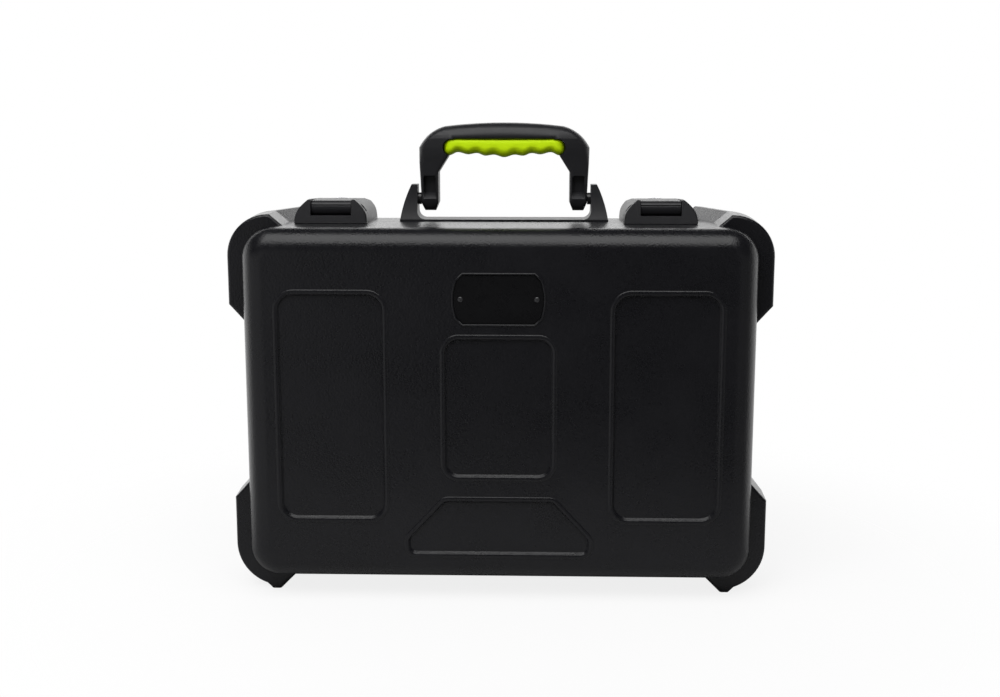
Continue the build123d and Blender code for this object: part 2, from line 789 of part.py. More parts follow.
def handle_side():
    """Side view of the handle: legs that widen upwards into the bar."""
    leg = leg_depth / 2
    bar = handle_bar_depth / 2
    bar_low = handle_top - handle_bar_height
    turn = bar_rounding * (1 - math.sqrt(0.5))
    right = [
        Polyline(
            (0, leg_bottom),
            (leg - leg_toe, leg_bottom),
            (leg, leg_bottom + leg_toe),
            (leg, bar_low - leg_flare_height),
            (bar, bar_low),
            (bar, handle_top - bar_rounding),
        ),
        ThreePointArc(
            (bar, handle_top - bar_rounding),
            (bar - turn, handle_top - turn),
            (bar - bar_rounding, handle_top),
        ),
        Line((bar - bar_rounding, handle_top), (0, handle_top)),
    ]
    left = [mirror(line, about=Plane.YZ) for line in right]
    return make_face(Curve() + [*right, *left])


def across(x):
    """Drawing plane of a side view in the handle's own terms, with its origin above the floor."""
    return Plane((x, handle_axis_y, 0), x_dir=(0, 1, 0), z_dir=(1, 0, 0))


def handle_bore(radius, start, length):
    """A round bar on the handle's axis, on the right side of the handle."""
    return rod(radius, (start, handle_axis_y, shell_top + handle_axis_rise), length, (1, 0, 0))


def handle_body():
    """The moulded handle, with a pocket and a pin bore in each leg."""
    half = shoulder[-1][0]
    front = Plane.XZ.offset(-handle_axis_y)
    body = extrude(front * handle_outline(), amount=handle_bar_depth, both=True)
    body &= extrude(across(-half - 1) * handle_side(), amount=2 * half + 2)
    pocket_x = (leg_inner + leg_outer) / 2
    face_y = handle_axis_y - leg_depth / 2
    pocket = block(
        (pocket_x - pocket_width / 2, pocket_x + pocket_width / 2),
        (face_y - 1, face_y + pocket_depth),
        (pocket_floor, pocket_floor + pocket_height),
    )
    body -= both_sides(fillet(pocket.edges().filter_by(Axis.Y), pocket_corner))
    depth = handle_pin_depth + handle_collar_clearance
    body -= both_sides(handle_bore(handle_pin_radius + handle_pin_clearance, leg_outer - depth, depth + 1))
    return Pos(handle_x, 0, 0) * body


def handle_grip():
    """The soft grip under the bar, lobed for the fingers and rounded underneath."""
    top = handle_top - handle_bar_height
    low = top - grip_height
    half = grip_length / 2
    run = grip_lobes * grip_lobe_pitch / 2
    valley = low + grip_lobe_depth
    end = Polyline((run, valley), (leg_inner - gusset_width, low), (half, low), (half, top), (0, top))
    lines = [end, mirror(end, about=Plane.YZ)]
    for index in range(grip_lobes):
        left = index * grip_lobe_pitch - run
        right = left + grip_lobe_pitch
        lines.append(ThreePointArc((left, valley), ((left + right) / 2, low), (right, valley)))
    front = Plane.XZ.offset(-handle_axis_y)
    grip = extrude(front * make_face(Curve() + lines), amount=grip_depth, both=True)
    half_depth = grip_depth / 2
    waist = low + grip_edge
    side = [
        Polyline((-half_depth, waist), (-half_depth, top), (half_depth, top), (half_depth, waist)),
        ThreePointArc((half_depth, waist), (0, low), (-half_depth, waist)),
    ]
    grip &= extrude(across(-half - 1) * make_face(Curve() + side), amount=2 * half + 2)
    return Pos(handle_x, 0, 0) * grip


def handle_ear():
    """The right ear: a fin that flares into the plate on the inside."""
    low = shell_top
    plate_top = low + mount_plate
    middle = (low + ear_top) / 2
    waist_point = (ear_inner + ear_waist_thickness, middle)
    tip_point = (ear_inner + ear_top_thickness, ear_top)
    outer = ThreePointArc((mount_half_width, low), waist_point, tip_point)
    turn = math.sqrt(0.5)
    flare = ThreePointArc(
        (ear_inner, plate_top + ear_flare_height),
        (ear_inner - ear_flare * (1 - turn), plate_top + ear_flare_height * (1 - turn)),
        (ear_inner - ear_flare, plate_top),
    )
    rest = [
        Polyline(outer @ 1, (ear_inner, ear_top), flare @ 0),
        Polyline(flare @ 1, (ear_inner - ear_flare, low), outer @ 0),
    ]
    front = Plane.XZ.offset(-handle_axis_y)
    ear = extrude(front * make_face(Curve() + [outer, flare, *rest]), amount=mount_depth / 2, both=True)
    foot, waist, tip = mount_depth / 2, ear_waist_depth / 2, ear_top_depth / 2
    side = [
        Line((-foot, low), (foot, low)),
        ThreePointArc((foot, low), (waist, middle), (tip, ear_top)),
        Line((tip, ear_top), (-tip, ear_top)),
        ThreePointArc((-tip, ear_top), (-waist, middle), (-foot, low)),
    ]
    ear &= extrude(across(0) * make_face(Curve() + side), amount=mount_half_width + 1)
    return ear - handle_bore(handle_pin_radius, ear_inner - 1, mount_half_width)


def handle_mount():
    """The handle's base on the top wall: a plate with an ear at each end."""
    sides = (handle_axis_y - mount_depth / 2, handle_axis_y + mount_depth / 2)
    heights = (shell_top, shell_top + mount_plate)
    mount = block((-mount_half_width, mount_half_width), sides, heights)
    mount = Pos(handle_x, 0, 0) * (mount + both_sides(handle_ear()))
    for place in mount_screw_places():
        mount -= screw_hole(*place)
    return mount


def mount_screw_places():
    """Middle points of the four screws under the ears."""
    rows = (handle_axis_y - mount_screw_spacing / 2, handle_axis_y + mount_screw_spacing / 2)
    x = ear_inner + mount_screw_reach
    return [(handle_x + way * x, y) for way in (-1, 1) for y in rows]


def backing_plate():
    """The steel plate inside the shell, which spreads the handle's load."""
    high = shell_top - seat_thickness
    sides = (handle_axis_y - mount_depth / 2, handle_axis_y + mount_depth / 2)
    across_case = (handle_x - mount_half_width, handle_x + mount_half_width)
    plate = block(across_case, sides, (high - backing_thickness, high))
    plate = fillet(plate.edges().filter_by(Axis.Z), leaf_corner)
    for x, y in mount_screw_places():
        plate -= rod(screw_radius, (x, y, high), backing_thickness, (0, 0, -1))
    return plate


def handle_pin(way):
    """One pivot pin: pressed into its ear, with a collar between ear and leg."""
    tip = leg_outer - handle_pin_depth
    collar = leg_outer + handle_collar_clearance
    pin = handle_bore(handle_pin_radius, tip, ear_inner + handle_pin_in_ear - tip)
    pin += handle_bore(handle_collar_radius, collar, ear_inner - collar)
    if way < 0:
        pin = mirror(pin, about=Plane.YZ)
    return Pos(handle_x, 0, 0) * pin


def label_plate():
    """The bare plate in its recess."""
    plane = Plane((0, front_y + label_thickness, 0), x_dir=(1, 0, 0), z_dir=(0, -1, 0))
    plate = extrude(plane * label_outline(label_clearance), amount=label_thickness - label_inset)
    for way in (-1, 1):
        plate -= label_pin(way)
    return plate


def label_pin(way):
    """One of the two small pins through the label plate and the lid's face."""
    middle = (label_top + label_bottom) / 2
    start = (way * label_pin_spacing / 2, front_y, middle)
    return rod(label_pin_radius, start, label_pin_length, (0, 1, 0))


def drop_outline():
    """Outline of one microphone drop: a round head above a tapered body with a round tail."""
    half = drop_length / 2
    body = drop_body_width / 2
    tail = drop_tail_width / 2
    neck = half - drop_head_radius - math.sqrt(drop_head_radius**2 - body**2)
    side = Line((tail, tail - half), (body, neck))
    head = ThreePointArc((body, neck), (0, half), (-body, neck))
    end = ThreePointArc((-tail, tail - half), (0, -half), (tail, tail - half))
    return make_face(Curve() + [side, head, mirror(side, about=Plane.YZ), end])


def foam_block(front, back):
    """A block of foam between two values of Y, clear of the walls and of what is fixed to them."""
    rake = (back_y - wall - seam_y) * math.tan(math.radians(draft))
    width = shell_width - 2 * (wall + foam_side_clearance + rake)
    height = shell_height - 2 * (seat_thickness + foam_end_clearance)
    plane = Plane((0, front, shell_middle), x_dir=(1, 0, 0), z_dir=(0, -1, 0))
    return extrude(plane * RectangleRounded(width, height, foam_corner), amount=front - back)


def base_foam_drops():
    """The cut foam layer, with a through-cut for each microphone."""
    front = seam_y + drops_setback
    layer = foam_block(front, front + drops_thickness)
    plane = Plane((0, front - 1, shell_middle), x_dir=(1, 0, 0), z_dir=(0, -1, 0))
    for index in range(drops_count):
        x = (index - (drops_count - 1) / 2) * drops_pitch
        layer -= extrude(plane * Pos(x, 0) * drop_outline(), amount=-drops_thickness - 2)
    return layer


def base_foam_pad():
    """The plain foam behind the cut layer."""
    front = seam_y + drops_setback + drops_thickness
    pad = foam_block(front, back_y - wall - recess_depth)
    return chamfer(pad.faces().sort_by(Axis.Y)[-1].edges(), edge_radius - wall)


def lid_foam():
    """The lid's foam, against the inside of the face."""
    front = front_y + wall + recess_depth
    pad = foam_block(front, front + lid_foam_thickness)
    return chamfer(pad.faces().sort_by(Axis.Y)[0].edges(), edge_radius - wall)


def lid_shell():
    """The lid, with the rebate that covers the base's lip."""
    shell = moulded_half(lid_depth, lid_bumpers(), True)
    for x in (latch_left_x, latch_right_x):
        shell += seat_top(x, latch_half_width, seam_y - bracket_front, lid_rim_y)
    for x in hinge_places:
        shell += seat_bottom(x, seam_y - leaf_gap - leaf_depth, lid_rim_y)
    rebate = lip_thickness + lip_clearance
    notch = screw_offset + screw_head_radius + lip_clearance
    shell -= rim_ring(wall - rebate, seat_thickness + 1, lip_height + lip_clearance, notch)
    for x in (latch_left_x, latch_right_x):
        for place in bracket_screw_places(x):
            shell -= screw_hole(*place)
    for x in hinge_places:
        for place in rivet_places(x, -1):
            shell -= rod(rivet_radius, (*place, shell_ground), seat_thickness, (0, 0, 1))
    for way in (-1, 1):
        shell -= label_pin(way)
    return shell


def base_shell():
    """The base, with its lip."""
    shell = to_back(moulded_half(base_depth, base_bumpers(), False))
    for x in (latch_left_x, latch_right_x):
        shell += seat_top(x, latch_half_width, base_rim_y, seam_y + lock_depth)
        shell -= latch_space(x, latch_half_width, (0, lock_depth), (0, latch_rise))
    sides = (handle_axis_y - mount_depth / 2, handle_axis_y + mount_depth / 2)
    shell += seat_top(handle_x, mount_half_width, *sides)
    for x in hinge_places:
        shell += seat_bottom(x, base_rim_y, seam_y + leaf_gap + leaf_depth)
    notch = screw_offset + screw_head_radius + 2 * lip_clearance
    shell += rim_ring(wall - lip_thickness, wall, lip_height, notch)
    shell += to_back(rim_ring(wall - lip_thickness, wall, lip_thickness, notch))
    places = [place for x in (latch_left_x, latch_right_x) for place in lock_screw_places(x)]
    for place in places + mount_screw_places():
        shell -= screw_hole(*place)
    for x in hinge_places:
        for place in rivet_places(x, 1):
            shell -= rod(rivet_radius, (*place, shell_ground), seat_thickness, (0, 0, 1))
    return shell


def group(pieces):
    """Several separate pieces kept together in one node."""
    return Compound(children=list(pieces))


def latch_nodes(side, x):
    """The nodes of one latch."""
    return {
        f"latch_bracket_{side}": latch_bracket(x),
        f"latch_lever_{side}": latch_lever(x),
        f"latch_pin_{side}": latch_pin(x),
        f"latch_lock_{side}": latch_lock(x),
        f"latch_button_{side}": latch_button(x),
        f"latch_spring_{side}": latch_spring(x),
        f"latch_key_{side}": latch_key(x),
    }


def hinge_nodes(side, x):
    """The nodes of one hinge."""
    return {
        f"hinge_lid_leaf_{side}": hinge_leaf(x, -1, 1),
        f"hinge_base_leaf_{side}": hinge_leaf(x, 1, 0),
        f"hinge_pin_{side}": hinge_pin(x),
    }


def fastener_nodes():
    """The nodes that hold several equal fasteners."""
    latches = (latch_left_x, latch_right_x)
    brackets = [place for x in latches for place in bracket_screw_places(x)]
    locks = [place for x in latches for place in lock_screw_places(x)]
    lid_rivets = [place for x in hinge_places for place in rivet_places(x, -1)]
    base_rivets = [place for x in hinge_places for place in rivet_places(x, 1)]
    return {
        "label_pins": group(label_pin(way) for way in (-1, 1)),
        "handle_pins": group(handle_pin(way) for way in (-1, 1)),
        "handle_screws": group(screw(*place, backing_thickness) for place in mount_screw_places()),
        "latch_bracket_screws": group(screw(*place) for place in brackets),
        "latch_lock_screws": group(screw(*place) for place in locks),
        "hinge_lid_rivets": group(hinge_rivet(*place) for place in lid_rivets),
        "hinge_base_rivets": group(hinge_rivet(*place) for place in base_rivets),
    }


nodes = {
    "lid_shell": lid_shell(),
    "lid_foam": lid_foam(),
    "base_shell": base_shell(),
    "base_foam_drops": base_foam_drops(),
    "base_foam_pad": base_foam_pad(),
    "label_plate": label_plate(),
    "handle_body": handle_body(),
    "handle_grip": handle_grip(),
    "handle_mount": handle_mount(),
    "handle_backing_plate": backing_plate(),
}
nodes |= latch_nodes("left", latch_left_x) | latch_nodes("right", latch_right_x)
nodes |= hinge_nodes("left", hinge_places[0]) | hinge_nodes("right", hinge_places[1])
nodes |= fastener_nodes()

os.makedirs("parts", exist_ok=True)
for name, shape in nodes.items():
    export_step(shape, f"parts/{name}.step")
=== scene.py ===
"""Looks of a moulded carrying case for seven microphones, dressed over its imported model.

Metres throughout, unless a docstring says millimetres. X runs to the right, Y to the back
and Z up; the lid faces -Y.
"""

import logging
import math
from collections.abc import Callable, Iterator, Sequence
from contextlib import contextmanager
from dataclasses import dataclass
from enum import Enum

import bmesh
import bpy
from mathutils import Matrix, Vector


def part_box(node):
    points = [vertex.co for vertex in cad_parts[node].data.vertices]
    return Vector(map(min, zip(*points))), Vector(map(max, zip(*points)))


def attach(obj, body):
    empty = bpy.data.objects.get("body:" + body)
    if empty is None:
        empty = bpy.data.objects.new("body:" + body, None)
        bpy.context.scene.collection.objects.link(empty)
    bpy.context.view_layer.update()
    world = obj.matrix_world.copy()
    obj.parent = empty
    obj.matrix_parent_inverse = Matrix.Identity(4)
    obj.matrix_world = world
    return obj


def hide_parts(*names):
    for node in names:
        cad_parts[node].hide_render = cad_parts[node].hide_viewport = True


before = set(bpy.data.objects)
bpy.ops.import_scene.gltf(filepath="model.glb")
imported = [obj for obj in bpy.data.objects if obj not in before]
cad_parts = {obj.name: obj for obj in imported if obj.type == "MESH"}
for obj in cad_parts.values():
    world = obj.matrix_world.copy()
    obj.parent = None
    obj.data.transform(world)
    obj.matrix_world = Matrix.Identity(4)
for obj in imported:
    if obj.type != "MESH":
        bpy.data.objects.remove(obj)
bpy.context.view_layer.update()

log = logging.getLogger("case")
Piece = bpy.types.Object
Material = bpy.types.Material
Point = tuple[float, float]
Triple = tuple[float, float, float]
Test = Callable[[Vector, Vector], bool]

MM = 0.001
NEAR = 1 * MM  # how near to a face counts as on it
ALONG = 0.9  # how much of a unit direction counts as along an axis
MERGE = 1e-6  # corners nearer than this become one
FLAT = math.radians(1.2)  # faces that turn less than this become one
ALONG_X = (0, math.pi / 2, 0)
ALONG_Y = (math.pi / 2, 0, 0)
ALONG_Z = (0, 0, 0)
MIX_INPUTS, MIX_OUTPUT = (6, 7), 2  # a Mix node's colour sockets
LABEL_MIDDLE = 265.9 * MM


# ---- modelling bench


class Element(Enum):
    """What a selection in edit mode picks."""

    VERT = "VERT"
    EDGE = "EDGE"
    FACE = "FACE"


class Slot(Enum):
    """The record's material slots."""

    SHELL = "shell"
    MOULDING = "moulding"
    GRIP = "grip"
    FOAM = "foam"
    PLATE = "plate"
    STEEL = "steel"
    DARK_STEEL = "dark_steel"
    CHROME = "chrome"


def activate(piece: Piece) -> None:
    """Makes a piece the only selected and the active one."""
    bpy.ops.object.select_all(action="DESELECT")
    piece.select_set(True)
    bpy.context.view_layer.objects.active = piece


@contextmanager
def editing(piece: Piece) -> Iterator[None]:
    """Edit mode on one piece, with everything in it selected."""
    activate(piece)
    bpy.ops.object.mode_set(mode="EDIT")
    bpy.ops.mesh.select_all(action="SELECT")
    try:
        yield
    finally:
        bpy.ops.object.mode_set(mode="OBJECT")


def pick(element: Element, test: Test) -> None:
    """Selects only what passes a test on its middle and its normal, or an edge's direction."""
    data = bpy.context.edit_object.data
    bpy.ops.mesh.select_mode(type=element.value)
    bpy.ops.mesh.select_all(action="DESELECT")
    mesh = bmesh.from_edit_mesh(data)
    items = {Element.VERT: mesh.verts, Element.EDGE: mesh.edges, Element.FACE: mesh.faces}
    for item in items[element]:
        if element is Element.VERT:
            middle, way = item.co, item.normal
        elif element is Element.EDGE:
            first, last = (vert.co for vert in item.verts)
            middle, way = (first + last) / 2, (last - first).normalized()
        else:
            middle, way = item.calc_center_median(), item.normal
        if test(middle, way):
            item.select_set(True)
    bmesh.update_edit_mesh(data)


def primitive(name: str, add: Callable[..., object], **settings: object) -> Piece:
    """Adds one of Blender's primitives by its operator and puts its place into its mesh."""
    bpy.ops.object.select_all(action="DESELECT")
    add(**settings)
    piece = bpy.context.object
    piece.name = name
    activate(piece)
    bpy.ops.object.transform_apply(location=True, rotation=True, scale=True)
    return piece


def block(name: str, low: Sequence[float], high: Sequence[float]) -> Piece:
    """A block between two corners."""
    low, high = Vector(low), Vector(high)
    add = bpy.ops.mesh.primitive_cube_add
    return primitive(name, add, size=1, location=(low + high) / 2, scale=high - low)


def round_bar(
    name: str, radius: float, middle: Vector, length: float, turn: Triple, sides: int
) -> Piece:
    """A round bar about its middle, its axis turned away from Z by Euler angles."""
    size = {"vertices": sides, "radius": radius, "depth": length}
    add = bpy.ops.mesh.primitive_cylinder_add
    return primitive(name, add, **size, location=middle, rotation=turn)


def prism(name: str, outline: Sequence[Point], front: float, back: float) -> Piece:
    """A straight prism between two places on Y, from an outline in X and Z."""
    add = bpy.ops.mesh.primitive_circle_add
    piece = primitive(name, add, vertices=len(outline), radius=1, fill_type="NGON")
    for vert, (x, z) in zip(piece.data.vertices, outline):
        vert.co = (x, front, z)
    with editing(piece):
        bpy.ops.mesh.extrude_region_move(TRANSFORM_OT_translate={"value": (0, back - front, 0)})
        bpy.ops.mesh.select_all(action="SELECT")
        bpy.ops.mesh.normals_make_consistent(inside=False)
    return piece


def modify(piece: Piece, kind: str, **settings: object) -> Piece:
    """Adds a modifier and applies it."""
    activate(piece)
    modifier = piece.modifiers.new(kind.lower(), kind)
    for key, value in settings.items():
        setattr(modifier, key, value)
    bpy.ops.object.modifier_apply(modifier=modifier.name)
    return piece


def carve(piece: Piece, tool: Piece, operation: str = "DIFFERENCE", keep: bool = False) -> Piece:
    """Cuts a tool out of a piece, or fuses it on, and removes the tool unless it is kept."""
    modify(piece, "BOOLEAN", object=tool, operation=operation, solver="EXACT")
    if not keep:
        bpy.data.objects.remove(tool)
    return piece


def ease_edges(piece: Piece, radius: float, segments: int = 3, above: float = 28.0) -> Piece:
    """Rounds every edge sharper than an angle, in degrees."""
    shape = {"width": radius, "segments": segments, "miter_outer": "MITER_ARC"}
    limit = {"limit_method": "ANGLE", "angle_limit": math.radians(above)}
    return modify(piece, "BEVEL", **shape, **limit)


def smooth(piece: Piece, angle: float = 32.0) -> Piece:
    """Smooth shading with flat faces kept flat."""
    activate(piece)
    bpy.ops.object.shade_smooth_by_angle(angle=math.radians(angle))
    return modify(piece, "WEIGHTED_NORMAL", keep_sharp=True)


def eased_copy(node: str, name: str, radius: float, segments: int = 3) -> Piece:
    """A new piece in a CAD node's shape: one closed mesh with moulded edges."""
    piece = bpy.data.objects.new(name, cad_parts[node].data.copy())
    bpy.context.scene.collection.objects.link(piece)
    with editing(piece):
        bpy.ops.mesh.customdata_custom_splitnormals_clear()
        bpy.ops.mesh.remove_doubles(threshold=MERGE)
        bpy.ops.mesh.dissolve_limited(angle_limit=FLAT, delimit=set())
    return smooth(ease_edges(piece, radius, segments))


def arc_through(first: Point, middle: Point, last: Point, count: int) -> list[Point]:
    """Points on the circle through three points, ends included."""
    (ax, ay), (bx, by), (cx, cy) = first, middle, last
    d = 2 * (ax * (by - cy) + bx * (cy - ay) + cx * (ay - by))
    a2, b2, c2 = ax**2 + ay**2, bx**2 + by**2, cx**2 + cy**2
    ux = (a2 * (by - cy) + b2 * (cy - ay) + c2 * (ay - by)) / d
    uy = (a2 * (cx - bx) + b2 * (ax - cx) + c2 * (bx - ax)) / d
    radius = math.hypot(ax - ux, ay - uy)
    start, through, end = (math.atan2(y - uy, x - ux) for x, y in (first, middle, last))
    turn = (end - start) % (2 * math.pi)
    if (through - start) % (2 * math.pi) > turn:
        turn -= 2 * math.pi
    angles = [start + turn * index / (count - 1) for index in range(count)]
    return [(ux + radius * math.cos(angle), uy + radius * math.sin(angle)) for angle in angles]


def label_outline(half_width: float, half_height: float) -> list[Point]:
    """The label's outline: bowed ends and clipped corners."""
    bow, corner = 2.9 * MM, 5.0 * MM
    flat, rise = half_width - bow, half_height - corner
    end = arc_through((flat, -rise), (half_width, 0), (flat, rise), 9)
    right = [(flat - corner, -half_height), *end, (flat - corner, half_height)]
    return [(x, z + LABEL_MIDDLE) for x, z in right + [(-x, -z) for x, z in right]]


def mirrored(points: Sequence[Point]) -> list[Point]:
    """Points mirrored from the right to the left, in the opposite order."""
    return [(-x, z) for x, z in reversed(points)]


def clamp(value: float, low: float = 0.0, high: float = 1.0) -> float:
    """A value kept between two others."""
    return min(high, max(low, value))


def smoothstep(value: float, start: float, length: float) -> float:
    """A smooth rise from 0 at a start to 1 a length further on."""
    share = clamp((value - start) / length)
    return share * share * (3 - 2 * share)


def distance_to(chain: Sequence[Point], x: float, y: float) -> float:
    """Distance from a place to an open chain of straight lines."""
    nearest = math.inf
    for (ax, ay), (bx, by) in zip(chain, chain[1:]):
        dx, dy = bx - ax, by - ay
        share = clamp(((x - ax) * dx + (y - ay) * dy) / (dx * dx + dy * dy))
        nearest = min(nearest, math.hypot(x - ax - share * dx, y - ay - share * dy))
    return nearest


def fillet(distance: float, radius: float) -> float:
    """How far a round-over falls away at a distance from its edge."""
    return radius - math.sqrt(max(0.0, radius**2 - max(0.0, radius - distance) ** 2))


def rounded(corners: Sequence[Point], radius: float, steps: int = 7) -> list[Point]:
    """A convex outline with its corners rounded."""
    points: list[Point] = []
    for index, corner in enumerate(corners):
        here = Vector(corner)
        others = [Vector(corners[(index + step) % len(corners)]) for step in (-1, 1)]
        ways = [(other - here).normalized() for other in others]
        half = ways[0].angle(ways[1]) / 2
        reach = radius / math.tan(half)
        middle = here + (ways[0] + ways[1]).normalized() * (radius / math.sin(half))
        first, last = (here + way * reach - middle for way in ways)
        for step in range(steps + 1):
            blend = first.lerp(last, step / steps).normalized() * radius
            points.append(tuple(middle + blend))
    return points


# ---- shader bench


def operator(operation: str, swapped: bool = False) -> Callable[["Signal", object], "Signal"]:
    """A Python operator that adds a Math node."""

    def apply(signal: "Signal", other: object) -> "Signal":
        """The node's output."""
        values = (other, signal) if swapped else (signal, other)
        return signal.paint.node("ShaderNodeMath", *values, operation=operation)

    return apply


class Signal:
    """A shader value that can be added to, taken away and multiplied."""

    __add__ = __radd__ = operator("ADD")
    __mul__ = __rmul__ = operator("MULTIPLY")
    __sub__ = operator("SUBTRACT")
    __rsub__ = operator("SUBTRACT", swapped=True)

    def __init__(self, paint: "Paint", socket: bpy.types.NodeSocket) -> None:
        """Wraps one output socket."""
        self.paint = paint
        self.socket = socket

    def rise(self, low: float, high: float) -> "Signal":
        """A smooth step from 0 at low to 1 at high."""
        ends = (low, high, 0.0, 1.0)
        return self.paint.node("ShaderNodeMapRange", self, *ends, interpolation_type="SMOOTHSTEP")


class Paint:
    """A material's node tree, or the world's, and the one way in which nodes are added."""

    def __init__(self, tree: bpy.types.NodeTree) -> None:
        """Takes a tree."""
        self.tree = tree

    def node(self, kind: str, *values: object, out: int | str = 0, **settings: object) -> Signal:
        """Adds a node with its settings and takes one of its outputs.

        Each value goes to the next input, or a pair's to the input that the pair names.
        """
        made = self.tree.nodes.new(kind)
        for key, value in settings.items():
            setattr(made, key, value)
        for index, value in enumerate(values):
            if isinstance(value, tuple) and len(value) == 2:
                index, value = value
            if isinstance(value, Signal):
                self.tree.links.new(value.socket, made.inputs[index])
            else:
                made.inputs[index].default_value = value
        return Signal(self, made.outputs[out])

    def end(self, shader: Signal, kind: str = "ShaderNodeOutputMaterial") -> None:
        """Links a shader to a new output node."""
        end = self.tree.nodes.new(kind)
        self.tree.links.new(shader.socket, end.inputs["Surface"])

    def mix(self, factor: object, first: object, second: object) -> Signal:
        """A colour between two colours."""
        pair = (first, second)
        colours = [(*value, 1.0) if isinstance(value, tuple) else value for value in pair]
        inputs = zip(MIX_INPUTS, colours)
        return self.node("ShaderNodeMix", factor, *inputs, out=MIX_OUTPUT, data_type="RGBA")

    def place(self, scale: Triple = (1.0, 1.0, 1.0)) -> Signal:
        """Object coordinates, stretched."""
        where = self.node("ShaderNodeTexCoord", out="Object")
        return self.node("ShaderNodeMapping", where, ("Scale", scale))

    def axis(self, name: str, space: str = "Object") -> Signal:
        """One coordinate, X, Y or Z."""
        where = self.node("ShaderNodeTexCoord", out=space)
        return self.node("ShaderNodeSeparateXYZ", where, out=name)

    def ray(self, kind: str) -> Signal:
        """1 for one kind of ray, such as Camera, and 0 for the others."""
        return self.node("ShaderNodeLightPath", out=f"Is {kind} Ray")

    def noise(
        self, where: Signal, size: float, detail: float = 2.0, roughness: float = 0.5
    ) -> Signal:
        """Noise of a feature size in metres, 0 to 1."""
        pairs = (("Scale", 1 / size), ("Detail", detail), ("Roughness", roughness))
        return self.node("ShaderNodeTexNoise", where, *pairs)

    def cells(self, where: Signal, size: float, feature: str = "SMOOTH_F1") -> Signal:
        """Distance to the nearest cell's middle, for cells of a size in metres."""
        return self.node("ShaderNodeTexVoronoi", where, ("Scale", 1 / size), feature=feature)

    def bump(self, height: Signal, depth: float) -> Signal:
        """A normal from a height, with its depth in metres."""
        pairs = (("Strength", 1.0), ("Distance", depth), ("Height", height))
        return self.node("ShaderNodeBump", *pairs)


class Surface(Paint):
    """A new material with a Principled shader."""

    def __init__(self, name: str, **constants: object) -> None:
        """Makes it, with values for the shader's own sockets, _ standing for a space."""
        self.material = bpy.data.materials.new(name)
        self.material.use_nodes = True
        super().__init__(self.material.node_tree)
        self.shader = self.tree.nodes["Principled BSDF"]
        for key, value in constants.items():
            self.shader.inputs[key.replace("_", " ")].default_value = value

    def finish(self, colour: Signal, roughness: Signal, height: Signal, depth: float) -> Material:
        """The material, once its shader is fed a colour, a roughness and a bump."""
        fed = {"Base Color": colour, "Roughness": roughness, "Normal": self.bump(height, depth)}
        for socket, signal in fed.items():
            self.tree.links.new(signal.socket, self.shader.inputs[socket])
        return self.material


# ---- finishes


def tint(colour: Triple, factor: float, lift: float = 0.0) -> Triple:
    """A lighter or darker tone of a colour."""
    return tuple(min(1.0, factor * value + lift) for value in colour)


@dataclass(frozen=True)
class Finish:
    """What every finish has: a name, a colour and a material to make."""

    name: str
    colour: Triple

    def paint(self) -> Material:
        """The material."""
        raise NotImplementedError


@dataclass(frozen=True)
class GrainedPlastic(Finish):
    """Moulded black plastic with a pebble grain from its mould, scuffed where it stands."""

    roughness: float = 0.29
    grain: float = 1.5 * MM
    depth: float = 0.17 * MM
    scuff_height: float = 2.0 * MM
    scuff_colour: Triple = (0.075, 0.075, 0.078)

    def paint(self) -> Material:
        """The material."""
        surface = Surface(self.name, IOR=1.46)
        where = surface.place()
        uneven = surface.noise(where, 45 * MM, 3.0)
        fine = surface.noise(where, 0.55 * MM, 3.0, 0.6)
        pebbles = surface.cells(where, self.grain)
        veins = surface.noise(where, self.grain * 2.2, 4.0, 0.62)
        sole = 1 - surface.axis("Z").rise(0.0, self.scuff_height)
        scratches = surface.noise(surface.place((1.0, 0.08, 1.0)), 1.2 * MM, 4.0).rise(0.52, 0.7)
        scuff = sole * scratches
        light, dark = tint(self.colour, 1.5, 0.003), tint(self.colour, 0.75)
        body = surface.mix(uneven * 0.7 + veins * 0.3, dark, light)
        worn = surface.mix(scuff, body, self.scuff_colour)
        rough = self.roughness + (uneven - 0.5) * 0.10 + (veins - 0.5) * 0.12 + scuff * 0.2
        height = pebbles * 0.75 + veins * 0.55 + fine * 0.16
        return surface.finish(worn, rough, height, self.depth)


@dataclass(frozen=True)
class SatinPlastic(Finish):
    """Smoother moulded plastic with a light spark-eroded texture and flow marks."""

    roughness: float
    texture: float = 0.6 * MM
    depth: float = 0.02 * MM
    ior: float = 1.47

    def paint(self) -> Material:
        """The material."""
        surface = Surface(self.name, IOR=self.ior)
        where = surface.place()
        flow = surface.noise(surface.place((0.35, 1.0, 1.0)), 22 * MM, 3.0)
        spark = surface.noise(where, self.texture, 4.0, 0.65)
        rubbed = surface.noise(where, 9 * MM, 5.0, 0.6).rise(0.45, 0.75)
        body = surface.mix(flow, tint(self.colour, 0.8), tint(self.colour, 1.35, 0.002))
        rough = self.roughness + (spark - 0.5) * 0.16 - rubbed * 0.06
        return surface.finish(body, rough, spark * 0.8 + flow * 0.2, self.depth)


@dataclass(frozen=True)
class SoftRubber(Finish):
    """Bright soft-touch moulding with a little dust."""

    shade: Triple

    def paint(self) -> Material:
        """The material."""
        surface = Surface(self.name, IOR=1.33)
        where = surface.place()
        dust = surface.noise(where, 14 * MM, 4.0)
        fine = surface.noise(where, 0.4 * MM, 3.0, 0.6)
        body = surface.mix((dust - 0.35) * 0.5, self.colour, self.shade)
        return surface.finish(body, 0.5 + (fine - 0.5) * 0.14 + dust * 0.06, fine, 0.015 * MM)


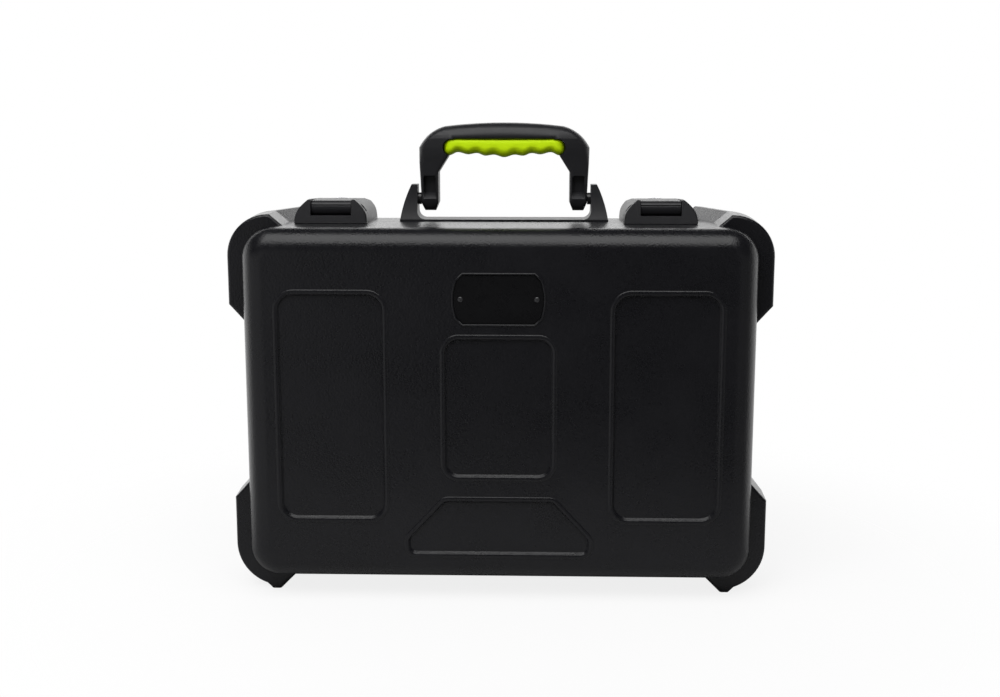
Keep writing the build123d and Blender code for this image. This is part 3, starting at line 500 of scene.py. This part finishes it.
@dataclass(frozen=True)
class OpenFoam(Finish):
    """Charcoal open-cell foam, with painted shade darkening its pores."""

    pore: float = 0.9 * MM

    def paint(self) -> Material:
        """The material."""
        surface = Surface(self.name, IOR=1.3, Sheen_Weight=0.25, Sheen_Roughness=0.6)
        where = surface.place()
        pores = surface.cells(where, self.pore, "F1")
        coarse = surface.cells(where, self.pore * 2.6, "F1")
        cloudy = surface.noise(where, 30 * MM, 4.0)
        open_share = (1 - pores.rise(0.15, 0.6)) * 0.7 + (1 - coarse.rise(0.1, 0.4)) * 0.3
        foam = surface.mix(cloudy, self.colour, tint(self.colour, 1.35))
        # painted shade: each pore's opening is mixed towards 0.3 of the foam's colour, by how open
        # it is
        pore_shaded_foam = surface.mix(open_share * 0.7, foam, tint(self.colour, 0.3))
        return surface.finish(pore_shaded_foam, 0.92 + cloudy * 0.06, 1 - open_share, 0.35 * MM)


@dataclass(frozen=True)
class PlatedSteel(Finish):
    """Metal with fine marks along its length and a soft unevenness in its plating."""

    roughness: float
    metallic: float = 1.0
    coat: float = 0.0

    def paint(self) -> Material:
        """The material."""
        shine = {"Metallic": self.metallic, "Coat_Weight": self.coat, "Coat_Roughness": 0.12}
        surface = Surface(self.name, **shine)
        along = surface.noise(surface.place((0.04, 1.0, 1.0)), 0.5 * MM, 3.0)
        cloudy = surface.noise(surface.place(), 7 * MM, 4.0)
        body = surface.mix(cloudy, tint(self.colour, 0.8), tint(self.colour, 1.15))
        rough = self.roughness + along * 0.12 + cloudy * 0.08
        return surface.finish(body, rough, along, 0.008 * MM)


class Finishes:
    """Every finish of the case, made once."""

    def __init__(self) -> None:
        """Makes the materials, one for each slot."""
        finishes = {
            Slot.SHELL: GrainedPlastic("pebbled_shell_plastic", (0.0042, 0.0042, 0.0056)),
            Slot.MOULDING: SatinPlastic("satin_black_moulding", (0.0078, 0.0078, 0.0094), 0.43),
            Slot.GRIP: SoftRubber("lime_soft_moulding", (0.57, 0.83, 0.0), (0.47, 0.72, 0.0)),
            Slot.FOAM: OpenFoam("charcoal_foam", (0.022, 0.022, 0.024)),
            Slot.PLATE: SatinPlastic(
                "bare_plate_black", (0.0035, 0.0035, 0.004), 0.3, 0.35 * MM, ior=1.3
            ),
            Slot.STEEL: PlatedSteel("zinc_plated_steel", (0.56, 0.56, 0.57), 0.28),
            Slot.DARK_STEEL: PlatedSteel(
                "black_coated_steel", (0.025, 0.025, 0.027), 0.3, metallic=0.4, coat=0.7
            ),
            Slot.CHROME: PlatedSteel("bright_plated_key", (0.68, 0.68, 0.70), 0.12),
        }
        self.by_slot = {slot: finish.paint() for slot, finish in finishes.items()}

    def fit(self, piece: Piece, slot: Slot, body: str, *nodes: str) -> None:
        """Dresses a new piece, sets it on a CAD body and lets it stand for CAD nodes."""
        piece.data.materials.clear()
        piece.data.materials.append(self.by_slot[slot])
        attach(piece, body)
        if nodes:
            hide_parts(*nodes)
        log.info("%s: %d faces, %s, on %s", piece.name, len(piece.data.polygons), slot.value, body)

    def coat(self, node: str, slot: Slot) -> None:
        """Gives a CAD node that stays in view its finish."""
        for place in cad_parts[node].material_slots:
            place.material = self.by_slot[slot]
        log.info("%s keeps its CAD shape, in %s", node, slot.value)


# ---- the case's sub-assemblies


@dataclass
class Shells:
    """The lid and the base: drafted walls, bumpers, feet and recessed panels."""

    finishes: Finishes
    edge: float = 1.1 * MM
    face: float = -75.0 * MM
    bead_half: float = 2.1 * MM
    bead_rise: float = 0.8 * MM
    bead_sides: int = 14
    bead_offset: float = 0.85
    bead_sunk: float = 0.25
    label_rim: Point = (38.25 * MM, 20.9 * MM)
    label_bead_half: float = 1.0 * MM
    label_bead_rise: float = 0.95 * MM

    def build(self) -> None:
        """Makes both shells and the beads round the lid's panels and label."""
        for body in ("lid", "base"):
            shell = eased_copy(f"{body}_shell", f"{body}_moulding", self.edge)
            self.finishes.fit(shell, Slot.SHELL, body, f"{body}_shell")
        for name, corners, radius in self.panels():
            outline = [(x * MM, z * MM) for x, z in rounded(corners, radius)]
            self.bead(name, outline, self.bead_half, self.bead_rise)
        label = label_outline(*self.label_rim)
        self.bead("label_bead", label, self.label_bead_half, self.label_bead_rise)

    def panels(self) -> list[tuple[str, list[Point], float]]:
        """Each panel's name, corners and corner radius, in millimetres."""
        side = [(97.5, 74.8), (187.2, 74.8), (187.2, 270.2), (97.5, 270.2)]
        middle = [(-46.0, 112.4), (46.0, 112.4), (46.0, 232.4), (-46.0, 232.4)]
        slope = [(78.0, 57.0), (46.5, 91.0)]
        foot = [(-78.0, 43.5), (78.0, 43.5), *slope, *mirrored(slope)]
        return [
            ("left_panel_bead", [(-x, z) for x, z in side], 14.0),
            ("right_panel_bead", side, 14.0),
            ("middle_panel_bead", middle, 12.0),
            ("foot_panel_bead", foot, 7.0),
        ]

    def bead(self, name: str, outline: Sequence[Point], half: float, rise: float) -> None:
        """Adds a bead along a rim: half its width, and how far it rises out of the face."""
        turns = {"major_segments": len(outline), "minor_segments": self.bead_sides}
        bead = primitive(name, bpy.ops.mesh.primitive_torus_add, **turns)
        middle = [sum(point[axis] for point in outline) / len(outline) for axis in (0, 1)]
        for index, vert in enumerate(bead.data.vertices):
            place, turn = divmod(index, self.bead_sides)
            x, z = outline[place]
            (x0, z0), (x1, z1) = outline[place - 1], outline[(place + 1) % len(outline)]
            out_x, out_z = z1 - z0, x0 - x1
            length = math.hypot(out_x, out_z)
            if (x - middle[0]) * out_x + (z - middle[1]) * out_z < 0:
                length = -length
            angle = math.tau * turn / self.bead_sides
            away = (self.bead_offset + math.cos(angle)) * half
            y = self.face - rise * (math.sin(angle) * (1 + self.bead_sunk) - self.bead_sunk)
            vert.co = (x + out_x / length * away, y, z + out_z / length * away)
        with editing(bead):
            bpy.ops.mesh.normals_make_consistent(inside=False)
        self.finishes.fit(smooth(bead, 80), Slot.SHELL, "lid")


@dataclass
class Label:
    """The bare plate with its two pins."""

    finishes: Finishes
    half_size: Point = (37.95 * MM, 20.6 * MM)
    front: float = -74.7 * MM
    back: float = -73.6 * MM
    edge: float = 0.45 * MM
    pin_reach: float = 32.25 * MM
    pin_radius: float = 1.5 * MM
    pin_slack: float = 0.01 * MM
    pin_proud: float = 0.2 * MM
    pin_back: float = -70.6 * MM
    pin_sides: int = 28
    head_radius: float = 2.4 * MM
    head_sunk: float = 0.3 * MM

    def build(self) -> None:
        """Makes the plate and its pins."""
        plate = prism("label_blank", label_outline(*self.half_size), self.front, self.back)
        for way in (-1, 1):
            ends = (self.front - self.edge, self.back + self.edge)
            carve(plate, self.bar("hole", way, self.pin_radius, *ends))
        smooth(ease_edges(plate, self.edge))
        self.finishes.fit(plate, Slot.PLATE, "lid", "label_plate")
        pins = [self.pin(way) for way in (-1, 1)]
        activate(pins[0])
        pins[1].select_set(True)
        bpy.ops.object.join()
        pins[0].name = "label_rivets"
        smooth(pins[0])
        self.finishes.fit(pins[0], Slot.DARK_STEEL, "lid", "label_pins")

    def bar(self, name: str, way: int, radius: float, front: float, back: float) -> Piece:
        """A bar along Y at one of the plate's two holes."""
        middle = Vector((way * self.pin_reach, (front + back) / 2, LABEL_MIDDLE))
        return round_bar(name, radius, middle, back - front, ALONG_Y, self.pin_sides)

    def pin(self, way: int) -> Piece:
        """One pin with a low domed head over the plate."""
        radius, front = self.pin_radius - self.pin_slack, self.front - self.pin_proud
        pin = self.bar(f"pin_{way}", way, radius, front, self.pin_back)
        head = primitive(
            "head",
            bpy.ops.mesh.primitive_uv_sphere_add,
            segments=self.pin_sides,
            ring_count=16,
            radius=self.head_radius,
            location=(way * self.pin_reach, self.front + self.head_sunk, LABEL_MIDDLE),
            scale=(1.0, 0.5, 1.0),
        )
        return carve(pin, head, "UNION")


@dataclass
class Handle:
    """The swinging handle: a moulded bow, its soft lobed grip, ears and pins."""

    finishes: Finishes
    middle: float = 2.7 * MM
    axis_y: float = 10.0 * MM
    axis_z: float = 345.3 * MM
    bar_low: float = 397.9 * MM
    bar_half_depth: float = 14.5 * MM
    leg_half_depth: float = 11.0 * MM
    toe_half_depth: float = 3.0 * MM
    rim_half_depth: float = 1.2 * MM
    flare: Point = (377.9 * MM, 20.0 * MM)
    crown: Point = (374.0 * MM, 22.0 * MM)
    outer_ease: float = 2.2 * MM
    crown_ease: float = 11.0 * MM
    inner_ease: float = 2.0 * MM
    insets: Sequence[float] = (0.4, 0.6, 0.9, 1.1, 1.2)
    levels: Sequence[float] = (337, 339, 341, 345.3, 351, 366, *range(374, 399, 4), 401, 404, 407)
    stations: Sequence[float] = range(-48, 49, 8)
    bore_middle: float = 68.5 * MM
    bore_radius: float = 2.6 * MM
    bore_length: float = 13 * MM
    seat_middle: float = 46.4 * MM
    seat_rise: float = 0.9 * MM
    seat_radius: float = 7.5 * MM
    pocket_middle: float = 65.45 * MM
    pocket_half: float = 5.3 * MM
    pocket_depth: float = 6 * MM
    pocket_low: float = 351.0 * MM
    pocket_high: float = 365.0 * MM
    pocket_slope: float = 7.0 * MM
    grip_half: float = 54.3 * MM
    grip_half_depth: float = 13.4 * MM
    grip_end_z: float = 389.4 * MM
    grip_flat: float = 45.8 * MM
    grip_taper: Point = (44 * MM, 10.31 * MM)
    taper_power: float = 2.4
    top_power: float = 0.42
    side_power: float = 0.76
    low_power: float = 0.92
    finger: float = 24.4 * MM
    finger_pitch: float = 15.4 * MM
    finger_depth: float = 0.13
    fingers_end: float = 46 * MM

    def build(self) -> None:
        """Makes the grip, the bow cut out for it, and the mount."""
        grip = self.grip()
        bow = self.bow()
        carve(bow, grip, keep=True)
        smooth(bow, 30)
        self.finishes.fit(bow, Slot.MOULDING, "handle", "handle_body")
        self.finishes.fit(grip, Slot.GRIP, "handle", "handle_grip")
        mount = eased_copy("handle_mount", "handle_ears", 0.7 * MM)
        self.finishes.fit(mount, Slot.MOULDING, "base", "handle_mount")

    def outer_rim(self) -> list[Point]:
        """The bow's outer line from the left leg's foot over the crown, in millimetres."""
        shoulder = arc_through((52.0, 408.7), (67.0, 400.9), (75.2, 390.0), 11)
        crown = arc_through((0.0, 411.8), (26.5, 411.03), (52.0, 408.7), 6)
        leg = [(74.6, 377.0), (73.2, 351.0), (73.2, 342.4), (70.2, 334.8)]
        right = [*crown[:-1], *shoulder, *leg]
        return mirrored(right[1:]) + right

    def inner_rim(self) -> list[Point]:
        """The bow's inner line from the right leg's foot to the left one's, in millimetres."""
        leg = [(60.7, 334.8), (57.7, 342.4), (57.7, 368.7)]
        right = [*leg, (49.0, 382.4), (46.8, 390.0), (43.5, 397.9)]
        return right + mirrored(right)

    def half_depth(self, u: float, z: float) -> float:
        """Half of the bow's depth at a place of its front view."""
        below = max(0.0, self.axis_z - z)
        half = math.sqrt(max(self.leg_half_depth**2 - below**2, self.toe_half_depth**2))
        half += (self.bar_half_depth - self.leg_half_depth) * smoothstep(z, *self.flare)
        ease = self.outer_ease + self.crown_ease * smoothstep(z, *self.crown)
        for rim, radius in ((self.outer_rim(), ease), (self.inner_rim(), self.inner_ease)):
            half -= fillet(distance_to(rim, u / MM, z / MM) * MM, radius)
        return max(self.rim_half_depth, half)

    def bow(self) -> Piece:
        """The moulded bow with its pockets, pin bores and seats for the grip's ends."""
        rim = [(self.middle + u * MM, z * MM) for u, z in self.outer_rim() + self.inner_rim()]
        front, back = self.axis_y - self.bar_half_depth, self.axis_y + self.bar_half_depth
        bow = prism("handle_bow", rim, front, back)
        cuts = [((0, 0, level * MM), (0, 0, 1)) for level in self.levels]
        cuts += [((self.middle + u * MM, 0, 0), (1, 0, 0)) for u in self.stations]
        with editing(bow):
            pick(Element.FACE, lambda middle, way: abs(way.y) > ALONG)
            for step in self.insets:
                bpy.ops.mesh.inset(thickness=step * MM)
            for place, way in cuts:
                bpy.ops.mesh.select_all(action="SELECT")
                bpy.ops.mesh.bisect(plane_co=place, plane_no=way)
        for vert in bow.data.vertices:
            half = self.half_depth(vert.co.x - self.middle, vert.co.z)
            vert.co.y = self.axis_y + math.copysign(half, vert.co.y - self.axis_y)
        for way in (-1, 1):
            carve(bow, self.pocket(way))
            bore = Vector((self.middle + way * self.bore_middle, self.axis_y, self.axis_z))
            carve(bow, round_bar("bore", self.bore_radius, bore, self.bore_length, ALONG_X, 24))
            seat_z = self.grip_end_z + self.seat_rise
            seat = Vector((self.middle + way * self.seat_middle, self.axis_y, seat_z))
            carve(bow, round_bar("seat", self.seat_radius, seat, 40 * MM, ALONG_Y, 48))
        return bow

    def pocket(self, way: int) -> Piece:
        """The tool for one leg's pocket."""
        x = self.middle + way * self.pocket_middle
        front = self.axis_y - self.leg_half_depth
        low = (x - self.pocket_half, front - 2 * MM, self.pocket_low)
        high = (x + self.pocket_half, front + self.pocket_depth, self.pocket_high)
        tool = block("pocket", low, high)
        floor = self.pocket_low + NEAR
        with editing(tool):
            pick(Element.EDGE, lambda middle, way: abs(way.y) > ALONG and middle.z > floor)
            bpy.ops.mesh.bevel(offset=1.5 * MM, segments=4, affect="EDGES")
            pick(Element.VERT, lambda place, way: place.z < floor and place.y < front)
            bpy.ops.transform.translate(value=(0, 0, -self.pocket_slope))
        return tool

    def underside(self, across: float) -> float:
        """Height of the grip's underside: finger valleys between lobes."""
        stops = [(0, 381.5), (9.4, 383.7), (16.4, 382.8), (24.4, 385.1), (31.6, 384.0)]
        stops = [(x * MM, z * MM) for x, z in [*stops, (41.0, 385.9), (48.6, 383.2)]]
        for (x0, z0), (x1, z1) in zip(stops, stops[1:]):
            if across <= x1:
                share = (1 - math.cos(math.pi * (across - x0) / (x1 - x0))) / 2
                return z0 + (z1 - z0) * share
        return self.end_curve(across, *stops[-1])

    def end_curve(self, across: float, start: float, height: float) -> float:
        """A quarter of an ellipse from a height down to the grip's end."""
        share = clamp((across - start) / (self.grip_half - start))
        return self.grip_end_z + (height - self.grip_end_z) * math.sqrt(1 - share**2)

    def on_grip(self, ball: Vector) -> Triple:
        """Where a place on a ball of radius 1 goes, from the grip's middle on the floor."""
        along = 1 - 2 * math.acos(clamp(ball.x, -1.0, 1.0)) / math.pi
        x = self.grip_half * math.sin(math.pi / 2 * along)
        across = abs(x)
        around = math.hypot(ball.y, ball.z) or 1.0
        if around < 1e-4 or across > self.grip_half - 1e-7:
            return x, 0.0, self.grip_end_z
        side, up = ball.y / around, ball.z / around
        low, high = self.underside(across), self.end_curve(across, self.grip_flat, self.bar_low)
        waist = low + (high - low) * 0.5
        start, length = self.grip_taper
        taper = max(0.0, 1 - (max(0.0, across - start) / length) ** self.taper_power) ** 0.5
        depth = self.grip_half_depth * taper
        if up > 0:
            y = depth * math.copysign(abs(side) ** self.top_power, side)
            return x, y, waist + (high - waist) * up**self.top_power
        valley = (math.cos(math.tau * (across - self.finger) / self.finger_pitch) + 1) / 2
        if across < self.fingers_end:
            depth *= 1 - self.finger_depth * valley * abs(up) ** 0.6
        y = depth * math.copysign(abs(side) ** self.side_power, side)
        return x, y, waist - (waist - low) * abs(up) ** self.low_power

    def grip(self) -> Piece:
        """The soft grip: a ball drawn out along X and shaped ring by ring."""
        ball = {"segments": 56, "ring_count": 150, "radius": 1, "rotation": ALONG_X}
        grip = primitive("finger_grip", bpy.ops.mesh.primitive_uv_sphere_add, **ball)
        for vert in grip.data.vertices:
            x, y, z = self.on_grip(vert.co)
            vert.co = (self.middle + x, self.axis_y + y, z)
        with editing(grip):
            bpy.ops.mesh.remove_doubles(threshold=MERGE)
            bpy.ops.mesh.normals_make_consistent(inside=False)
        return smooth(grip, 60)


@dataclass
class Latches:
    """Both latches: bracket, lever, lock, release button and key cylinder."""

    finishes: Finishes
    places: tuple[tuple[str, float], ...] = (("left", -147.0 * MM), ("right", 138.8 * MM))
    wall_back: float = -23.0 * MM
    wall_top: float = 346.0 * MM
    lean: float = 0.26
    shoulder_foot: float = 328.0 * MM
    shoulder_inner: float = 18.5 * MM
    bulge: float = 2.0 * MM
    fall: float = 0.05
    fall_front: float = -12.0 * MM
    fall_above: float = 341.0 * MM
    pin_axis: Point = (-17.8 * MM, 338.6 * MM)
    notch_middle: float = 28.0 * MM
    notch_radius: float = 3.4 * MM
    notch_length: float = 9 * MM
    cap_top: float = 346.1 * MM
    cap_wear: float = 0.5 * MM
    key_y: float = 40.4 * MM
    key_top: float = 344.0 * MM
    key_low: float = 334.0 * MM
    key_radius: float = 5.5 * MM
    flange_low: float = 343.0 * MM
    flange_radius: float = 5.9 * MM
    dish_rim: float = 1.2 * MM
    dish_depth: float = 0.35 * MM
    keyway_half: Point = (0.6 * MM, 3.25 * MM)
    keyway_depth: float = 2.9 * MM

    def build(self) -> None:
        """Makes the pieces of both latches."""
        for side, x in self.places:
            for kind, body, edge in (
                ("bracket", "lid", 1.0 * MM),
                ("lever", f"lever_{side}", 0.8 * MM),
                ("lock", "base", 0.9 * MM),
                ("button", f"button_{side}", 0.25 * MM),
            ):
                node = f"latch_{kind}_{side}"
                piece = eased_copy(node, f"{side}_{kind}_moulding", edge)
                self.shape(piece, kind, x)
                self.finishes.fit(piece, Slot.MOULDING, body, node)
            self.key(side, x)
            self.finishes.coat(f"latch_pin_{side}", Slot.STEEL)
            self.finishes.coat(f"latch_spring_{side}", Slot.STEEL)

    def shape(self, piece: Piece, kind: str, x: float) -> None:
        """Gives one of a latch's mouldings what its CAD shape lacks."""
        if kind in ("bracket", "lock"):
            self.round_shoulders(piece, x)
        if kind == "bracket":
            self.lean_front(piece)
            self.open_pin_ends(piece, x)
        elif kind == "button":
            self.lower_cap(piece)
        if kind in ("lock", "button"):
            self.slope_top(piece)

    def round_shoulders(self, piece: Piece, x: float) -> None:
        """Bows a bracket's or a lock's sloping shoulders outwards."""
        for vert in piece.data.vertices:
            away = vert.co.x - x
            share = (vert.co.z - self.shoulder_foot) / (self.wall_top - self.shoulder_foot)
            if abs(away) > self.shoulder_inner and 0 < share < 1:
                vert.co.x += math.copysign(self.bulge * math.sin(math.pi * share), away)

    def slope_top(self, piece: Piece) -> None:
        """Lets a lock's or a button's top fall away towards the back."""
        for vert in piece.data.vertices:
            share = clamp((vert.co.z - self.fall_above) / (self.wall_top - self.fall_above))
            vert.co.z -= self.fall * share * max(0.0, vert.co.y - self.fall_front)

    def lean_front(self, bracket: Piece) -> None:
        """Leans the bracket's front wall back towards its top."""
        for vert in bracket.data.vertices:
            if vert.co.y < self.wall_back:
                vert.co.y -= self.lean * (self.wall_top - vert.co.z)

    def open_pin_ends(self, bracket: Piece, x: float) -> None:
        """Cuts the notches in the bracket's shoulders where its pin's ends show."""
        for way in (-1, 1):
            middle = Vector((x + way * self.notch_middle, *self.pin_axis))
            size = (self.notch_radius, middle, self.notch_length)
            carve(bracket, round_bar("notch", *size, ALONG_X, 28))
        smooth(bracket)

    def lower_cap(self, button: Piece) -> None:
        """Brings the button's worn cap nearly level with the lock's top."""
        with editing(button):
            pick(Element.VERT, lambda place, way: place.z > self.cap_top)
            bpy.ops.transform.translate(value=(0, 0, -self.cap_wear))

    def upright(self, name: str, x: float, radius: float, low: float) -> Piece:
        """A bar on a key's axis, from a height up to the key's top."""
        middle = Vector((x, self.key_y, (low + self.key_top) / 2))
        return round_bar(name, radius, middle, self.key_top - low, ALONG_Z, 56)

    def key(self, side: str, x: float) -> None:
        """One key cylinder: a plug, a turned flange and a keyway."""
        key = self.upright(f"{side}_key_cylinder", x, self.key_radius, self.key_low)
        carve(key, self.upright("flange", x, self.flange_radius, self.flange_low), "UNION")
        with editing(key):
            pick(Element.FACE, lambda middle, way: way.z > ALONG and middle.z > self.flange_low)
            bpy.ops.mesh.inset(thickness=self.dish_rim)
            bpy.ops.transform.translate(value=(0, 0, -self.dish_depth))
        half_x, half_y = self.keyway_half
        low = (x - half_x, self.key_y - half_y, self.key_top - self.keyway_depth)
        high = (x + half_x, self.key_y + half_y, self.key_top + 1 * MM)
        carve(key, block("keyway", low, high))
        smooth(ease_edges(key, 0.22 * MM))
        self.finishes.fit(key, Slot.CHROME, f"key_{side}", f"latch_key_{side}")


@dataclass
class Hardware:
    """Both hinges under the seam, and the pieces that keep their CAD shapes."""

    finishes: Finishes

    def build(self) -> None:
        """Makes the hinges' leaves and dresses pins, rivets, screws and the plate inside."""
        for side in ("left", "right"):
            for body in ("lid", "base"):
                node = f"hinge_{body}_leaf_{side}"
                leaf = eased_copy(node, f"{side}_{body}_hinge_leaf", 0.3 * MM, 2)
                self.finishes.fit(leaf, Slot.DARK_STEEL, body, node)
            self.finishes.coat(f"hinge_pin_{side}", Slot.STEEL)
        for node in ("hinge_lid_rivets", "hinge_base_rivets", "handle_pins"):
            self.finishes.coat(node, Slot.DARK_STEEL)
        screws = ("handle_screws", "latch_bracket_screws", "latch_lock_screws")
        for node in (*screws, "handle_backing_plate"):
            self.finishes.coat(node, Slot.STEEL)


@dataclass
class Foam:
    """The three foam layers: lid pad, cut layer with seven drops, and the pad behind."""

    finishes: Finishes
    slack: float = 0.3 * MM
    corner: float = 20.0 * MM
    chamfer: float = 16.5 * MM
    crown: float = 6 * MM
    crease: float = 0.01 * MM
    lip: float = 1.6 * MM
    drops: int = 7
    pitch: float = 59.0 * MM
    head: float = 27.0 * MM
    body_half: float = 20.5 * MM
    tail_half: float = 16.5 * MM
    half_length: float = 131.0 * MM
    middle: float = 171.5 * MM

    def build(self) -> None:
        """Makes the layers."""
        for piece, body, node in (
            (self.pad("lid_foam_pad", "lid_foam", -1), "lid", "lid_foam"),
            (self.pad("base_foam_back", "base_foam_pad", 1), "base", "base_foam_pad"),
            (self.cut_layer(), "base", "base_foam_drops"),
        ):
            self.finishes.fit(piece, Slot.FOAM, body, node)

    def sheet(self, name: str, node: str) -> Piece:
        """A block of foam in a node's place, with round upright corners."""
        low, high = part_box(node)
        slack = Vector((self.slack,) * 3)
        sheet = block(name, low + slack, high - slack)
        with editing(sheet):
            pick(Element.EDGE, lambda middle, way: abs(way.y) > ALONG)
            bpy.ops.mesh.bevel(offset=self.corner, segments=8, affect="EDGES")
        return sheet

    def pad(self, name: str, node: str, hidden: int) -> Piece:
        """A plain pad, crowned on the side that shows and cut back on the hidden one."""
        low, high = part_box(node)
        pad = self.sheet(name, node)
        back = high.y if hidden > 0 else low.y
        with editing(pad):
            pick(Element.FACE, lambda middle, way: way.y * hidden > ALONG)
            bpy.ops.mesh.inset(thickness=self.chamfer)
            bpy.ops.transform.translate(value=(0, -hidden * self.crease, 0))
            pick(Element.VERT, lambda place, way: self.on_rim(place, low, high, back))
            bpy.ops.transform.translate(value=(0, -hidden * self.chamfer, 0))
            pick(Element.FACE, lambda middle, way: way.y * hidden < -ALONG)
            bpy.ops.mesh.inset(thickness=self.crown)
        return smooth(ease_edges(pad, 1.5 * MM, 3, 40), 40)

    def on_rim(self, place: Vector, low: Vector, high: Vector, y: float) -> bool:
        """Whether a place lies on a sheet's rim at one of its faces, round corners included."""
        if abs(place.y - y) > NEAR:
            return False
        near = min(place.x - low.x, high.x - place.x), min(place.z - low.z, high.z - place.z)
        if max(near) > self.corner * 1.2:
            return min(near) < NEAR
        return math.dist((self.corner, self.corner), near) > self.corner - 2 * MM

    def drop_outline(self, x: float) -> list[Point]:
        """One microphone drop: round head, tapered body and round tail."""
        neck = self.half_length - self.head - math.sqrt(self.head**2 - self.body_half**2)
        top, low = self.half_length, -self.half_length
        head = arc_through((self.body_half, neck), (0.0, top), (-self.body_half, neck), 33)
        shoulder = self.tail_half + low
        tail = arc_through((-self.tail_half, shoulder), (0.0, low), (self.tail_half, shoulder), 17)
        return [(x + u, self.middle + v) for u, v in head + tail]

    def cut_layer(self) -> Piece:
        """The cut foam layer."""
        low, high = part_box("base_foam_drops")
        layer = self.sheet("base_foam_cut", "base_foam_drops")
        for index in range(self.drops):
            x = (index - (self.drops - 1) / 2) * self.pitch
            tool = prism("drop", self.drop_outline(x), low.y - 5 * MM, high.y + 5 * MM)
            carve(layer, tool)
        return smooth(ease_edges(layer, self.lip, 3, 35), 35)


# ---- studio


def hang(name: str, data: bpy.types.ID, place: Triple, target: Triple) -> bpy.types.Object:
    """Puts up a lamp or the camera, pointed at a target."""
    thing = bpy.data.objects.new(name, data)
    bpy.context.scene.collection.objects.link(thing)
    thing.location = place
    way = Vector(target) - Vector(place)
    thing.rotation_euler = way.to_track_quat("-Z", "Y").to_euler()
    return thing


@dataclass(frozen=True)
class Lamp:
    """One softbox."""

    name: str
    place: Triple
    target: Triple
    size: Point
    watts: float
    glossy: bool = True

    def build(self) -> None:
        """Puts it up, out of the camera's sight."""
        data = bpy.data.lights.new(self.name, "AREA")
        data.shape = "RECTANGLE"
        data.size, data.size_y = self.size
        data.energy = self.watts
        lamp = hang(self.name, data, self.place, self.target)
        lamp.visible_camera = False
        lamp.visible_glossy = self.glossy


@dataclass
class Studio:
    """Camera, softboxes, a pale floor and a white room."""

    camera_place: Triple = (0.0322, -1.1813, 0.4197)
    camera_target: Triple = (-0.00085, 0.0, 0.2113)
    lens: float = 48.0
    sensor: float = 36.0
    floor_radius: float = 2.2
    floor_solid: float = 0.30
    floor_gone: float = 0.62
    floor_grey: float = 0.86
    floor_to_camera: float = 0.84
    floor_mirror_loss: float = 0.6
    low_band: float = 0.95
    left_wing: float = 0.42
    right_wing: float = 0.2
    gloom: float = 0.01
    ambient: float = 0.25

    def build(self) -> None:
        """Sets everything up."""
        self.camera()
        self.lamps()
        self.floor()
        self.room()
        bpy.context.scene.view_settings.view_transform = "Standard"

    def camera(self) -> None:
        """The photograph's view: level, a little from the right and from above."""
        data = bpy.data.cameras.new("camera")
        data.lens, data.sensor_width = self.lens, self.sensor
        camera = hang("camera", data, self.camera_place, self.camera_target)
        bpy.context.scene.camera = camera

    def lamps(self) -> None:
        """A large box overhead, a fill from the front and a strip behind."""
        top, middle, rear = (0.0, 0.0, 0.3), (0.0, 0.0, 0.2), (0.0, 0.0, 0.33)
        for lamp in (
            Lamp("front_top_box", (-0.12, -0.64, 1.6), top, (1.9, 1.25), 19.5),
            Lamp("front_fill", (-0.8, -1.45, 1.65), middle, (1.2, 1.2), 18.0, glossy=False),
            Lamp("back_top_box", (0.0, 1.45, 1.03), rear, (3.2, 0.75), 12.5),
        ):
            lamp.build()

    def floor(self) -> None:
        """A pale floor that keeps the contact shadow and fades into the white room."""
        disc = {"vertices": 96, "radius": self.floor_radius, "fill_type": "NGON"}
        floor = primitive("floor", bpy.ops.mesh.primitive_circle_add, **disc)
        material = bpy.data.materials.new("pale_floor")
        material.use_nodes = True
        material.node_tree.nodes.clear()
        paint = Paint(material.node_tree)
        where = paint.node("ShaderNodeTexCoord", out="Object")
        far = paint.node("ShaderNodeVectorMath", where, out="Value", operation="LENGTH")
        mirror = 1 - paint.ray("Glossy") * self.floor_mirror_loss
        grey = (paint.noise(where, 0.4) * 0.02 + self.floor_grey) * mirror
        tone = paint.mix(grey, (0.0, 0.0, 0.0), (1.0, 1.0, 1.0))
        card = paint.node("ShaderNodeBsdfDiffuse", tone)
        white = paint.node("ShaderNodeEmission", (1.0, 1.0, 1.0, 1.0), 1.0)
        seen = paint.ray("Camera") * self.floor_to_camera
        lit = paint.node("ShaderNodeMixShader", seen, card, white)
        clear = paint.node("ShaderNodeBsdfTransparent")
        fade = far.rise(self.floor_solid, self.floor_gone)
        paint.end(paint.node("ShaderNodeMixShader", fade, lit, clear))
        floor.data.materials.append(material)

    def room(self) -> None:
        """The world: white to the camera, bright low behind the case, dim in front."""
        world = bpy.data.worlds.new("room")
        bpy.context.scene.world = world
        world.use_nodes = True
        world.node_tree.nodes.clear()
        paint = Paint(world.node_tree)
        camera, glossy, clear = (paint.ray(kind) for kind in ("Camera", "Glossy", "Transmission"))
        across, back, up = (paint.axis(name, "Generated") for name in "XYZ")
        low_band = back.rise(-0.25, 0.35) * up.rise(-0.5, -0.3) * (1 - up.rise(0.22, 0.45))
        left, right = 1 - across.rise(-0.3, -0.03), across.rise(0.12, 0.34)
        wings = (left * self.left_wing + right * self.right_wing) * (1 - up.rise(0.0, 0.3))
        mirror = low_band * self.low_band + wings + self.gloom
        others = (1 - camera) * (1 - clear) * (1 - glossy)
        strength = camera + clear + glossy * mirror + others * self.ambient
        light = paint.node("ShaderNodeBackground", (1.0, 1.0, 1.0, 1.0), strength)
        paint.end(light, "ShaderNodeOutputWorld")


def main() -> None:
    """Builds the scene, piece by piece."""
    logging.basicConfig(level=logging.INFO, format="%(name)s %(message)s")
    Studio().build()
    finishes = Finishes()
    for assembly in (Shells, Label, Handle, Latches, Hardware, Foam):
        assembly(finishes).build()


if __name__ == "__main__":
    main()
